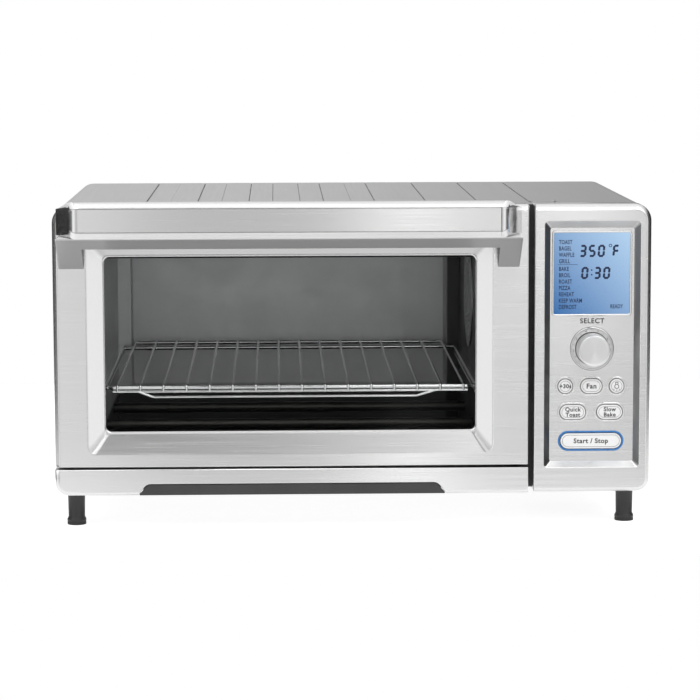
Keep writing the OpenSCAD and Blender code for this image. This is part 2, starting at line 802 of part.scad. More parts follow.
module door_inner_panel() {
    w = [face_t, face_t];
    g = [gap, gap];
    rim_lo = window_lo - [5, 5];
    rim_hi = window_hi + [5, 5];
    y0 = door_back - sheet_t;
    color("darkgray") difference() {
        union() {
            upright(y0, sheet_t) rounded([door_x0, door_z0] + w + g, [door_x1, face_top] - w - g,
                [0, 0, 0, top_r - 2]);
            upright(glass_back + gasket_t, door_back - glass_back - gasket_t)
                rounded(rim_lo - w, rim_hi + w, 5);
        }
        upright(glass_back, door_t) rounded(rim_lo, rim_hi, 4);
        for (x = lug_xs) lug_pocket(x);
    }
}

module door_glass() {
    lap = [glass_lap - 0.5, glass_lap - 0.5];
    color("lightblue", 0.35) upright(glass_y, glass_t) rounded(window_lo - lap, window_hi + lap, 5);
}

module glass_gasket() {
    lap = [glass_lap - 0.5, glass_lap - 0.5];
    color("black") upright(glass_back, gasket_t) difference() {
        rounded(window_lo - lap, window_hi + lap, 5);
        rounded(window_lo - [4.5, 4.5], window_hi + [4.5, 4.5], 4);
    }
}

// Handle: bar with a sloping underside and two legs that flare back to the door
module door_handle() {
    slope = 36 / 29;                            // run over rise of the legs' lower face
    bar_back = handle_y + 18;
    face_lo = handle_top - 26.5;
    low_edge = face_lo - 6;
    bar_low = low_edge - 7;
    nose = [[bar_back, handle_top - 1], [handle_y + 9, handle_top], [handle_y + 4, handle_top - 1],
        [handle_y + 1, handle_top - 3.4], [handle_y, handle_top - 6], [handle_y, face_lo],
        [handle_y + 6, low_edge]];
    leg = concat([[front_y, handle_top - 8], [front_y - 2, handle_top - 7]], nose,
        [[front_y, low_edge - (handle_reach - 6) / slope]]);
    color("silver") difference() {
        union() {
            sideways(handle_x0, handle_x1 - handle_x0) polygon(concat(nose,
                [[handle_y + 6 + 7 * slope, bar_low], [bar_back, bar_low + 4]]));
            sideways(handle_x0, leg_w[0]) polygon(leg);
            sideways(handle_x1 - leg_w[1], leg_w[1]) polygon(leg);
        }
        // slanted ends
        for (s = [0, 1]) translate([s ? handle_x1 : handle_x0, front_y - 14, 0])
            rotate([0, 0, s ? 22 : -22]) translate([s ? 0 : -40, -60, 0]) cube([40, 60, 400]);
        // folded-sheet bar: hollow between the legs, with its seam along the back
        sideways(handle_x0 + leg_w[0], handle_x1 - handle_x0 - leg_w[0] - leg_w[1]) {
            polygon([[bar_back - 2, bar_low + 8], [bar_back - 2, handle_top - 3.5],
                [handle_y + 9, handle_top - 2.5], [handle_y + 4, handle_top - 5],
                [handle_y + 2, handle_top - 8], [handle_y + 2, face_lo + 1],
                [handle_y + 8, low_edge + 2], [handle_y + 12, bar_low + 6]]);
            translate([bar_back - 3, bar_low + 14]) square([4, 2.5]);
        }
        for (x = handle_screw_xs, z = handle_screw_zs) along_y(front_y - handle_screw_l - 1, front_y + 1, x, z, 2.05);
    }
}

module hinge_pins() {
    reach = lug_w / 2 + 1 + knuckle_w;
    color("gray") for (x = lug_xs) along_x(x - reach, x + reach, hinge_y, hinge_z, pin_r);
}

// ---------- rack and tray ----------

module oven_rack() {
    x0 = cavity_cx - rack_side;
    x1 = cavity_cx + rack_side;
    in0 = wires_x0;
    in1 = wires_x0 + (rack_wires - 1) * rack_pitch;
    mid = guide_y1 - 6;
    low = rack_z - 3.5;
    loop = 6;
    top = rack_z + rail_r;
    hook_y = rack_front - 2;
    end = 1.6;                                  // how far a rod runs past the one it crosses
    color("silver") {
        // frame of thick rod: front, sides, rear shoulders and the part inside the recess
        for (x = [x0, x1]) bar([x, rack_front - end, rack_z], [x, mid + end, rack_z], rail_r - 0.1);
        for (y = [rack_front, mid])
            bar([x0 - end, y, rack_z], [x1 + end, y, rack_z], rail_r);
        bar([in0 - end, rack_back, rack_z], [in1 + end, rack_back, rack_z], rail_r);
        // wires on top, bent down over the front rod
        for (i = [0:rack_wires - 1]) {
            x = in0 + i * rack_pitch;
            bar([x, hook_y - 0.6, top], [x, rack_back + 0.5, top], wire_r);
            bar([x, hook_y, top + 0.6], [x, hook_y, low], wire_r);
        }
        // second rod under the front and the shallow pull loop below it
        bar([in0 - end, hook_y, low], [in1 + end, hook_y, low], wire_r + 0.3);
        upright(hook_y - wire_r, 2 * wire_r) difference() {
            polygon([[in0 + 19, low], [in0 + 32, low - loop], [in1 - 42, low - loop], [in1 - 25, low]]);
            polygon([[in0 + 23, low], [in0 + 33, low - loop + 2], [in1 - 43, low - loop + 2],
                [in1 - 29, low]]);
        }
    }
}

module crumb_tray() {
    t = 0.8;
    color("dimgray") {
        difference() {
            block([tray_x0, front_y + 2, tray_z0], [tray_x1, tray_back, tray_z1]);
            block([tray_x0 + t, front_y + 4, tray_z0 + t], [tray_x1 - t, tray_back - t, tray_z1 + 1]);
        }
        upright(front_y + 0.6, 2.4) intersection() {
            tray_notch(0);
            translate([-half_w, foot_h]) square([body_w, tray_z1 - foot_h]);
        }
    }
}

outer_wrap();
rear_panel();
recess_cover();
base_pan();
base_front_panel();
front_frame();
cavity_liner();
heat_shield();
rack_guide_left();
rack_guide_right();
heater_upper_front();
heater_upper_rear();
heater_lower_front();
heater_lower_rear();
heater_holders();
fan_housing();
fan_grille();
fan_motor();
motor_bracket();
convection_fan();
cooling_fan();
fan_shaft();
lamp_socket();
lamp_bulb();
lamp_lens();
temperature_probe();
control_frame();
control_panel();
display_bezel();
display_window();
display_lcd();
control_board();
encoder();
button_rings();
start_ring();
power_board();
cord_gland();
foot_front_left();
foot_front_right();
foot_rear_left();
foot_rear_right();
foot_pads();
rear_screws();
foot_screws();
handle_screws();
door_frame();
door_inner_panel();
door_glass();
glass_gasket();
door_handle();
hinge_pins();
oven_rack();
crumb_tray();
selector_knob();
button_add_time();
button_fan();
button_lamp();
button_toast();
button_bake();
button_start();
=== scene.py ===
"""Toaster oven: brushed steel, glass door, lit display. Metres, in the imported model's frame."""
import math

import bmesh
import bpy
from mathutils import Matrix, Vector


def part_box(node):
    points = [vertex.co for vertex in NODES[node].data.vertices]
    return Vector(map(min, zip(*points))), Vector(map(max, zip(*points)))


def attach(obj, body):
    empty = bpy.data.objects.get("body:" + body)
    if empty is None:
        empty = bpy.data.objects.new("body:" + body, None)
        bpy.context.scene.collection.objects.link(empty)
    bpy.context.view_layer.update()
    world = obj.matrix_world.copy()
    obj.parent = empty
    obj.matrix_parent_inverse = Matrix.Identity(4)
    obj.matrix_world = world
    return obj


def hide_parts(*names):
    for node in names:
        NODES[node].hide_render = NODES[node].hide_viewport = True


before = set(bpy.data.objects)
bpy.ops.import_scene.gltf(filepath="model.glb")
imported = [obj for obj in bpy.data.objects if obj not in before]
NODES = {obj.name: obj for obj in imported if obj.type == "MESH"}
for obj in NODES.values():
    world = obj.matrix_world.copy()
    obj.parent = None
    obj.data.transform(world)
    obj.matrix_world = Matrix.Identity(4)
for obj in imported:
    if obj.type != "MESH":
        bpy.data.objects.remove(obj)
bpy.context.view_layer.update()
MM = 0.001


def mm(*values):
    """Millimetres in metres."""
    return tuple(v * MM for v in values)


def stepped(u, v, *steps):
    """Points at offsets in millimetres from (u, v)."""
    return [(u + du * MM, v + dv * MM) for du, dv in steps]


# ---- places read from the frame

def lo_hi(node):
    """Lowest and highest corner of a CAD node, as two tuples."""
    low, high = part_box(node)
    return tuple(low), tuple(high)


def middle(lo, hi, axis):
    """Middle of a box along an axis."""
    return (lo[axis] + hi[axis]) / 2


DOOR_LO, DOOR_HI = lo_hi("door_frame")
GLASS_LO, GLASS_HI = lo_hi("door_glass")
PANEL_LO, PANEL_HI = lo_hi("control_panel")
BASE_LO, BASE_HI = lo_hi("base_front_panel")
HANDLE_LO, HANDLE_HI = lo_hi("door_handle")
WRAP_LO, WRAP_HI = lo_hi("outer_wrap")
RACK_LO, RACK_HI = lo_hi("oven_rack")
TRAY_LO, TRAY_HI = lo_hi("crumb_tray")
KNOB_LO, KNOB_HI = lo_hi("selector_knob")
LCD_LO, LCD_HI = lo_hi("display_window")
FACE_Y = DOOR_LO[1]  # face of the door and of the control frame
SHEET = 1.2 * MM  # thickness of the pressed steel
SHELL_Y = WRAP_LO[1]  # front edge of the casing behind them
GLASS_LAP = 7.5 * MM  # how far the glass reaches past the window
WINDOW_LO = (GLASS_LO[0] + GLASS_LAP, GLASS_LO[2] + GLASS_LAP)
WINDOW_HI = (GLASS_HI[0] - GLASS_LAP, GLASS_HI[2] - GLASS_LAP)
BEVEL_LO = (WINDOW_LO[0] - 15 * MM, WINDOW_LO[1] - 19.5 * MM)
BEVEL_HI = (WINDOW_HI[0] + 14.5 * MM, WINDOW_HI[1] + 18 * MM)
PANEL_Y = PANEL_LO[1]  # face of the inner control panel
WELL_LO = (PANEL_LO[0] + 3 * MM, PANEL_LO[2] + 3 * MM)
WELL_HI = (PANEL_HI[0] - 3 * MM, PANEL_HI[2] - 3 * MM)
POCKET_LO = (WELL_LO[0] - 5.5 * MM, WELL_LO[1] - 5 * MM)
POCKET_HI = (WELL_HI[0] + 5.1 * MM, WELL_HI[1] + 6.5 * MM)
LCD_EDGE = 0.8 * MM  # the window reaches this far behind the bezel
LCD_A = (LCD_LO[0] + LCD_EDGE, LCD_LO[2] + LCD_EDGE)
LCD_B = (LCD_HI[0] - LCD_EDGE, LCD_HI[2] - LCD_EDGE)
KNOB_X, KNOB_Z = (middle(KNOB_LO, KNOB_HI, axis) for axis in (0, 2))
KNOB_R = (KNOB_HI[0] - KNOB_LO[0]) / 2
DIAL_R = 19.2 * MM
CAVITY_X = middle(*lo_hi("cavity_liner"), 0)
LUG_XS = (DOOR_LO[0] + 12 * MM, DOOR_HI[0] - 11 * MM)  # middles of the two hinge lugs
HANDLE_LIP = 32.5 * MM  # from the top of the handle down to its lip
HANDLE_DEEP = 18 * MM  # depth of the bar between the legs
HANDLE_LEGS = (24 * MM, 21 * MM)  # width of the left and the right leg
RECESS_X = CAVITY_X + 159.5 * MM  # right edge of the recess in the cavity's back wall


# ---- shader nodes

class Nodes:
    """A node tree, with short ways to add nodes and to link or set their inputs."""

    def __init__(self, tree):
        self.tree = tree

    def find(self, kind):
        """The first node of a kind."""
        return next(n for n in self.tree.nodes if n.type == kind)

    def put(self, node, inputs):
        """Links a socket into each named input, or sets a plain value on it."""
        for key, value in inputs.items():
            if isinstance(value, bpy.types.NodeSocket):
                self.tree.links.new(value, node.inputs[key])
            else:
                node.inputs[key].default_value = value

    def add(self, kind, inputs=None, **settings):
        """A node with its settings and its inputs."""
        node = self.tree.nodes.new("ShaderNode" + kind)
        for key, value in settings.items():
            setattr(node, key, value)
        self.put(node, inputs or {})
        return node

    def surface(self, inputs):
        """Inputs of the Principled shader."""
        self.put(self.find("BSDF_PRINCIPLED"), inputs)

    def axes(self, space):
        """X, Y and Z of the Object or Generated coordinates."""
        return self.add("SeparateXYZ", {0: self.add("TexCoord").outputs[space]}).outputs

    def noise(self, scale, detail=2.0, stretch=(1, 1, 1)):
        """Value of a noise texture on object coordinates scaled along each axis."""
        coords = self.add("TexCoord").outputs["Object"]
        mapping = self.add("Mapping", {"Vector": coords, "Scale": stretch})
        inputs = {"Vector": mapping.outputs["Vector"], "Scale": scale, "Detail": detail}
        return self.add("TexNoise", inputs).outputs["Fac"]

    def remap(self, value, low, high, from_low=0.3, from_high=0.7):
        """A value mapped to a range, and kept within it."""
        inputs = {"Value": value, "From Min": from_low, "From Max": from_high, "To Min": low,
                  "To Max": high}
        return self.add("MapRange", inputs).outputs["Result"]

    def rise(self, value, start, end):
        """0 below start, 1 above end."""
        return self.remap(value, 0.0, 1.0, start, end)

    def math(self, operation, *values):
        """Result of a Math node."""
        return self.add("Math", dict(enumerate(values)), operation=operation).outputs[0]

    def product(self, first, *others):
        """Product of several values."""
        for other in others:
            first = self.math("MULTIPLY", first, other)
        return first

    def blend(self, factor, first, second):
        """A number between two numbers."""
        inputs = {"Factor": factor, "A": first, "B": second}
        return self.add("Mix", inputs, data_type="FLOAT").outputs["Result"]

    def ramp(self, factor, stops):
        """Colour from a ramp of (place, colour) stops."""
        node = self.add("ValToRGB", {"Fac": factor})
        elements = node.color_ramp.elements
        for place, _ in stops[2:]:
            elements.new(place)
        for element, (place, colour) in zip(elements, stops):
            element.position = place
            element.color = (*colour, 1)
        return node.outputs["Color"]

    def greys(self, factor, *stops):
        """Grey from a ramp of (place, tone) stops."""
        return self.ramp(factor, [(place, grey(tone)) for place, tone in stops])

    def mixed(self, factor, dark, light):
        """Colour between two colours."""
        return self.ramp(factor, ((0.0, dark), (1.0, light)))

    def in_world(self, vector):
        """An object-space direction turned into world space."""
        return self.add("VectorTransform", {0: vector}, vector_type="VECTOR", convert_from="OBJECT",
                        convert_to="WORLD").outputs[0]

    def bump(self, height, strength, distance):
        """Relief on the Principled shader."""
        inputs = {"Height": height, "Strength": strength, "Distance": distance}
        self.surface({"Normal": self.add("Bump", inputs).outputs["Normal"]})


def new_material(name):
    """A material and its nodes."""
    mat = bpy.data.materials.new(name)
    mat.use_nodes = True
    return mat, Nodes(mat.node_tree)


def grey(value):
    return (value, value, value)


# ---- materials

def brushed_steel(name, tone, along=0, rough=0.24):
    """Stainless steel brushed along axis 0, 1 or 2: fine streaks in tone, gloss and relief."""
    mat, nodes = new_material(name)
    fine, coarse = [1400.0] * 3, [16.0] * 3
    fine[along], coarse[along] = 9.0, 1.5
    spread = 0.02
    streaks = nodes.noise(1.0, 3.0, fine)
    clouds = nodes.remap(nodes.noise(1.0, 2.0, coarse), 0.0, 0.35, 0.25, 0.75)
    both = nodes.math("MULTIPLY_ADD", streaks, 0.65, clouds)
    across = (0, 0, 1) if along == 0 else (1, 0, 0)
    nodes.surface({"Base Color": nodes.mixed(both, grey(tone - spread), grey(tone + spread)),
                   "Roughness": nodes.remap(streaks, rough - 0.03, rough + 0.04),
                   "Metallic": 1.0, "Anisotropic": 0.88, "Tangent": nodes.in_world(across)})
    nodes.bump(streaks, 0.06, 0.00004)
    return mat


def plain_metal(name, dark, light, rough, scale=60.0, relief=0.05, metallic=1.0):
    """Sheet or cast metal with a soft mottle in tone and gloss."""
    mat, nodes = new_material(name)
    mottle = nodes.noise(scale, 4.0)
    nodes.surface({"Base Color": nodes.mixed(mottle, dark, light), "Metallic": metallic,
                   "Roughness": nodes.remap(mottle, rough - 0.05, rough + 0.08)})
    nodes.bump(nodes.noise(scale * 14), relief, 0.0002)
    return mat


def moulded(name, dark, light, rough, scale=400.0, relief=0.15, coat=0.0):
    """Moulded plastic, rubber or ceramic with a fine grain."""
    mat, nodes = new_material(name)
    grain = nodes.noise(scale, 3.0)
    nodes.surface({"Base Color": nodes.mixed(grain, dark, light), "Coat Weight": coat,
                   "Roughness": nodes.remap(grain, rough - 0.06, rough + 0.06)})
    nodes.bump(grain, relief, 0.00015)
    return mat


def oven_wall(name):
    """Cavity steel: light on the back and left walls; painted shade makes it dark low down, on the floor,
    and right of the recess's edge, on the right wall.
    """
    mat, nodes = new_material(name)
    x, _, z = nodes.axes("Object")
    # Painted shade: below the recess floor's height and right of the recess's edge the colour goes dark,
    # standing in for shade and dark reflections there.
    high = nodes.remap(z, 0.06, 1.0, 76 * MM, 82 * MM)
    left = nodes.remap(x, 1.0, 0.08, RECESS_X - 1 * MM, RECESS_X + 2 * MM)
    mottle = nodes.noise(30.0, 4.0)
    unshaded = nodes.product(high, left, nodes.remap(mottle, 0.85, 1.0))
    nodes.surface({"Base Color": nodes.mixed(unshaded, grey(0.02), grey(0.8)), "Metallic": 0.65,
                   "Roughness": nodes.remap(mottle, 0.4, 0.5)})
    nodes.bump(nodes.noise(420.0), 0.03, 0.0002)
    return mat


def clear_pane(name, tint, blend=0.08):
    """Clear glass or plastic: see-through head on, more of a mirror at a low angle, faint smears."""
    mat, nodes = new_material(name)
    smear = nodes.noise(9.0, 3.0)
    nodes.surface({"Base Color": nodes.mixed(smear, grey(0.88), grey(0.95)), "Metallic": 1.0,
                   "Roughness": nodes.remap(smear, 0.03, 0.08)})
    clear = nodes.add("BsdfTransparent", {"Color": (*tint, 1)}).outputs[0]
    edge = nodes.add("LayerWeight", {"Blend": blend}).outputs["Facing"]
    mirror = nodes.find("BSDF_PRINCIPLED").outputs[0]
    mix = nodes.add("MixShader", {0: edge, 1: clear, 2: mirror})
    nodes.put(nodes.find("OUTPUT_MATERIAL"), {"Surface": mix.outputs[0]})
    return mat


def lit_display(name):
    """Backlit display: pale at the top right, deeper blue at the bottom left, faint cell texture."""
    mat, nodes = new_material(name)
    x, _, z = nodes.axes("Object")
    across = nodes.remap(x, 0.0, 0.5, LCD_A[0], LCD_B[0])
    up = nodes.remap(z, 0.0, 0.5, LCD_A[1], LCD_B[1])
    glow = nodes.mixed(nodes.math("ADD", across, up), (0.015, 0.135, 0.38), (0.46, 0.66, 0.87))
    cells = nodes.noise(900.0, 1.0)
    nodes.surface({"Base Color": nodes.mixed(cells, (0.004, 0.012, 0.03), (0.008, 0.02, 0.045)),
                   "Roughness": nodes.remap(cells, 0.25, 0.4),
                   "Emission Color": glow, "Emission Strength": 0.95})
    return mat


def spun_metal(name):
    """Turned aluminium: rings round the knob's axis and a tangent that follows them."""
    mat, nodes = new_material(name)
    coords = nodes.add("TexCoord").outputs["Object"]
    shift = nodes.add("VectorMath", {0: coords, 1: (KNOB_X, 0, KNOB_Z)}, operation="SUBTRACT")
    flat = nodes.add("VectorMath", {0: shift.outputs[0], 1: (1, 0, 1)}, operation="MULTIPLY")
    radius = nodes.add("VectorMath", {0: flat.outputs[0]}, operation="LENGTH").outputs["Value"]
    rings = nodes.add("TexNoise", {"W": radius, "Scale": 9000.0}, noise_dimensions="1D")
    fine = rings.outputs["Fac"]
    nodes.surface({"Base Color": nodes.mixed(fine, grey(0.72), grey(0.82)),
                   "Roughness": nodes.remap(fine, 0.26, 0.34),
                   "Metallic": 1.0, "Anisotropic": 0.7, "Tangent": nodes.in_world(flat.outputs[0])})
    nodes.bump(fine, 0.1, 0.00005)
    return mat


def paper(name):
    """Bright matt paper for the floor."""
    mat, nodes = new_material(name)
    nodes.surface({"Base Color": nodes.mixed(nodes.noise(3.0), grey(0.4), grey(0.43)),
                   "Roughness": 1.0, "Specular IOR Level": 0.0,
                   "Emission Color": (1, 1, 1, 1), "Emission Strength": 0.82})
    return mat


def ink(name, colour):
    """Printed ink with a slight unevenness."""
    return moulded(name, tuple(c * 0.8 for c in colour), colour, 0.5, 700.0, 0.02)


STEEL_X = brushed_steel("brushed_steel_across", 0.70)
# Painted shade: darker copies of the brushed steel, for faces in shade under the handle and on the control
# pocket's walls.
STEEL_SHADED = brushed_steel("brushed_steel_painted_shade", 0.36, rough=0.34)
STEEL_DARK_SHADE = brushed_steel("brushed_steel_painted_dark_shade", 0.12, rough=0.3)
STEEL_HALF_SHADE = brushed_steel("brushed_steel_painted_half_shade", 0.52, rough=0.3)
STEEL_Y = brushed_steel("brushed_steel_deep", 0.62, along=1, rough=0.32)
GALVANISED = plain_metal("galvanised_sheet", grey(0.42), grey(0.55), 0.38)
# Dark coated steel of the front frame, tray, inner panel and motor; also painted shade on the handle's leg
# sides and in the creases of the top's ribs.
DARK_STEEL_AND_SHADE = plain_metal("dark_coated_steel_and_painted_shade", grey(0.035), grey(0.055), 0.42, metallic=0.3)
CAVITY = oven_wall("cavity_steel")
# Painted highlight: a lighter, rougher copy of the steel for the handle's lip top and the tops of its
# slanted ends.
SATIN_HIGHLIGHT = plain_metal("satin_painted_highlight", grey(0.78), grey(0.86), 0.5, 90.0, 0.02, 0.2)
CHROME = plain_metal("chromed_wire", grey(0.75), grey(0.85), 0.14, 40.0, 0.01)
BRIGHT = plain_metal("bright_trim", grey(0.68), grey(0.8), 0.2, 80.0, 0.01)
SHEATH = plain_metal("heater_sheath", (0.05, 0.048, 0.045), (0.09, 0.085, 0.08), 0.35, 90.0, 0.08)
SCREW = plain_metal("zinc_screw", grey(0.5), grey(0.66), 0.28, 200.0, 0.03)
CAST = plain_metal("cast_aluminium", grey(0.5), grey(0.6), 0.35, 120.0, 0.05)
CERAMIC = moulded("ceramic", (0.72, 0.69, 0.62), (0.8, 0.78, 0.72), 0.4, 300.0)
# Black plastic of the feet, the cord gland and the button stems; also painted shade on the floor of the
# buttons' grooves.
BLACK_PLASTIC_AND_SHADE = moulded("black_plastic_and_painted_shade", grey(0.012), grey(0.022), 0.42)
RUBBER = moulded("rubber", grey(0.01), grey(0.018), 0.65, 600.0, 0.3)
BUTTON = moulded("button_plastic", grey(0.78), grey(0.84), 0.33, 500.0, 0.03, 0.3)
RING_BLUE = moulded("ring_blue", (0.02, 0.14, 0.4), (0.03, 0.2, 0.52), 0.3, 300.0, 0.03, 0.4)
BOARD = moulded("circuit_board", (0.01, 0.09, 0.035), (0.015, 0.13, 0.05), 0.45, 250.0)
# Dark ink for print; also painted shadow in the gaps round the dial and round the knob.
INK_AND_SHADE = ink("dark_ink_and_painted_shade", grey(0.03))
INK_NAVY = ink("ink_navy", (0.006, 0.02, 0.075))
GLASS = clear_pane("door_glass_clear", (0.95, 0.955, 0.955))
CLEAR = clear_pane("display_clear", (0.99, 0.99, 1.0), 0.05)
LIT = lit_display("display_backlit")


# ---- mesh helpers

def placed(name, data):
    """An object with its data, linked into the scene."""
    obj = bpy.data.objects.new(name, data)
    bpy.context.scene.collection.objects.link(obj)
    return obj


def smooth_under(mesh, degrees):
    """Smooth shading, with edges above an angle kept sharp."""
    mesh.shade_smooth()
    mesh.set_sharp_from_angle(angle=math.radians(degrees))


def evaluated(obj):
    """The mesh of an object after its modifiers, or of a text object."""
    bpy.context.view_layer.update()
    return bpy.data.meshes.new_from_object(obj.evaluated_get(bpy.context.evaluated_depsgraph_get()))


def piece(name, verts, faces, material, smooth=35):
    """A mesh object from vertices and faces, with its normals outward and smooth under an angle."""
    mesh = bpy.data.meshes.new(name)
    mesh.from_pydata(verts, [], faces)
    form = bmesh.new()
    form.from_mesh(mesh)
    bmesh.ops.remove_doubles(form, verts=form.verts, dist=1e-6)
    bmesh.ops.recalc_face_normals(form, faces=form.faces)
    form.to_mesh(mesh)
    form.free()
    smooth_under(mesh, smooth)
    mesh.materials.append(material)
    return placed(name, mesh)


def shade_walls(obj, walls):
    """Gives faces other materials: walls is a list of (material, test of a face)."""
    for material, test in walls:
        obj.data.materials.append(material)
        slot = len(obj.data.materials) - 1
        for face in obj.data.polygons:
            if test(face):
                face.material_index = slot
    return obj


def joined(name, parts):
    """Several pieces as one object, in the material of the first."""
    form = bmesh.new()
    for part in parts:
        form.from_mesh(part.data)
    mesh = bpy.data.meshes.new(name)
    form.to_mesh(mesh)
    form.free()
    mesh.materials.append(parts[0].data.materials[0])
    for part in parts:
        bpy.data.objects.remove(part)
    return placed(name, mesh)


def fit(obj, body, slot, *nodes):
    """obj rides on a body and stands for CAD nodes, if any are named; slot is not used."""
    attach(obj, body)
    if nodes:
        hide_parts(*nodes)


def arc(cx, cz, r, start, steps):
    """Points of a quarter circle from an angle in degrees, with the direction outward."""
    out = []
    for k in range(steps + 1):
        a = math.radians(start + 90 * k / steps)
        out.append((cx + r * math.cos(a), cz + r * math.sin(a), math.cos(a), math.sin(a)))
    return out


def rounded(lo, hi, r, steps=8):
    """Outline of a rounded rectangle, anticlockwise from its low-low corner: (u, v, nu, nv)."""
    return (arc(lo[0] + r, lo[1] + r, r, 180, steps) + arc(hi[0] - r, lo[1] + r, r, 270, steps)
            + arc(hi[0] - r, hi[1] - r, r, 0, steps) + arc(lo[0] + r, hi[1] - r, r, 90, steps))


def loft(rings, closed):
    """Vertices and faces of a loft through rings of equal length; closed joins last to first."""
    count = len(rings[0])
    verts = [v for ring in rings for v in ring]
    faces = []
    last = len(rings) if closed else len(rings) - 1
    for i in range(last):
        a = i * count
        b = ((i + 1) % len(rings)) * count
        for k in range(count):
            m = (k + 1) % count
            faces.append((a + k, a + m, b + m, b + k))
    if not closed:
        faces.append(tuple(range(count - 1, -1, -1)))
        faces.append(tuple((len(rings) - 1) * count + k for k in range(count)))
    return verts, faces


def upright(outline, y):
    """A ring in the X-Z plane at y."""
    return [(p[0], y, p[1]) for p in outline]


def prism(front, back):
    """Vertices and faces of a solid between two like outlines."""
    count = len(front)
    faces = [tuple(range(count)), tuple(range(2 * count - 1, count - 1, -1))]
    faces += [(k, (k + 1) % count, count + (k + 1) % count, count + k) for k in range(count)]
    return front + back, faces


def slab(x0, x1, z0, z1, y0, y1):
    """A flat box as vertices and faces."""
    return prism(*([(x, y, z) for x, z in ((x0, z0), (x1, z0), (x1, z1), (x0, z1))] for y in (y0, y1)))


def spokes(r, steps):
    """Offsets of the points of a circle."""
    turns = [2 * math.pi * k / steps for k in range(steps)]
    return [(r * math.cos(a), r * math.sin(a)) for a in turns]


def circle(cx, cz, r, y, steps):
    """A ring round an axis along Y."""
    return [(cx + u, y, cz + v) for u, v in spokes(r, steps)]


def flat_hoop(cx, cz, r0, r1, y, thick, steps):
    """Vertices and faces of a thin flat ring that faces -Y."""
    places = ((r0, y), (r0, y + thick), (r1, y + thick), (r1, y))
    return loft([circle(cx, cz, r, py, steps) for r, py in places], True)


def panel_ring(lo, hi, corners, cut, y, depths=(0, 0, 0, 0)):
    """Ring of a rounded rectangle at y. cut moves its left, bottom, right and top side in, and
    depths puts each of them further back."""
    tiny = 0.3 * MM
    sides = ((0, 1, 180), (2, 1, 270), (2, 3, 0), (0, 3, 90))
    edge = (lo[0] + cut[0], lo[1] + cut[1], hi[0] - cut[2], hi[1] - cut[3])
    ring = []
    for (across, along, start), corner in zip(sides, corners):
        wide = max(corner - cut[across], tiny)
        high = max(corner - cut[along], tiny)
        cx = edge[across] + (wide if across == 0 else -wide)
        cz = edge[along] + (high if along == 1 else -high)
        for _, _, nu, nv in arc(0, 0, 1, start, 8):
            back = depths[across] * nu * nu + depths[along] * nv * nv
            ring.append((cx + wide * nu, y + back, cz + high * nv))
    return ring


# Shape of a pressed edge: how far in and how far back, as shares of its width and its depth
EDGE_SHAPE = ((0.0, 1.0), (0.02, 0.86), (0.1, 0.7), (0.45, 0.34), (0.82, 0.07), (0.93, 0.015), (1.05, 0.0))


def pressed_edge(lo, hi, corners, y, width):
    """Rings of a soft chamfer from a panel's side into its face at y; width is left, bottom,
    right and top. Each side goes back 1.25 times its width."""
    rings = []
    for inward, back in EDGE_SHAPE:
        cut = [w * inward for w in width]
        depths = [w * 1.25 * back for w in width]
        rings.append(panel_ring(lo, hi, corners, cut, y, depths))
    flat = [w * 1.05 + 0.5 * MM for w in width]
    rings.append(panel_ring(lo, hi, corners, flat, y))
    return rings


def pressed_frame(node, corners, edges, inside, behind):
    """Closed loft of a pressed frame in the X-Z plane: side, rolled edge, the rings inside its face,
    and rings of its back as (cut, y)."""
    lo, hi = lo_hi(node)
    outer, back = ((lo[0], lo[2]), (hi[0], hi[2]), corners), hi[1]
    rings = [panel_ring(*outer, (0, 0, 0, 0), back)]
    rings += pressed_edge(*outer, FACE_Y, edges) + inside
    return loft(rings + [panel_ring(*outer, (cut,) * 4, y) for cut, y in (*behind, (SHEET, back))], True)


def sunk(outer, inner, inner_y, soft, lip, shares):
    """Rings over a soft lip in the face, then down a bevel from the outer outline to the inner one.
    lip is (inward, back) in units of soft, and shares are how far down the bevel each ring lies."""
    rings = [upright(inset(outer, inward * soft), FACE_Y + y * soft) for inward, y in lip]
    for share in shares:
        rings.append([(a[0] + (b[0] - a[0]) * share, FACE_Y + (inner_y - FACE_Y) * share,
                       a[1] + (b[1] - a[1]) * share) for a, b in zip(outer, inner)])
    return rings


def grown(lo, hi, d):
    """A rectangle's corners moved out by d."""
    return (lo[0] - d, lo[1] - d), (hi[0] + d, hi[1] + d)


def pill(cx, cz, w, h, steps=12):
    """Outline of a pill with round ends."""
    r = min(w, h) / 2 - 1e-6
    return rounded((cx - w / 2, cz - h / 2), (cx + w / 2, cz + h / 2), r, steps)


def inset(outline, d):
    """An outline moved inward by d."""
    return [(u - nu * d, v - nv * d, nu, nv) for u, v, nu, nv in outline]


def lathe(profile, cx, cz, steps):
    """Rings round an axis along Y through (cx, cz), from a list of (radius, y)."""
    return [circle(cx, cz, r, y, steps) for r, y in profile]


def lathe_up(profile, cx, cy, steps=48):
    """Rings round a vertical axis through (cx, cy), from a list of (radius, z)."""
    return [[(cx + u, cy + v, z) for u, v in spokes(r, steps)] for r, z in profile]


def round_corners(points, r, steps=6):
    """A path with its inner corners rounded to radius r."""
    pts = [Vector(p) for p in points]
    out = [pts[0]]
    for a, b, c in zip(pts, pts[1:], pts[2:]):
        u = (a - b).normalized()
        w = (c - b).normalized()
        half = u.angle(w) / 2
        back = min(r / math.tan(half), (a - b).length * 0.49, (c - b).length * 0.49)
        for k in range(steps + 1):
            t = k / steps
            p = b + u * back * (1 - t) ** 2 + w * back * t ** 2
            out.append(p)
    out.append(pts[-1])
    return out


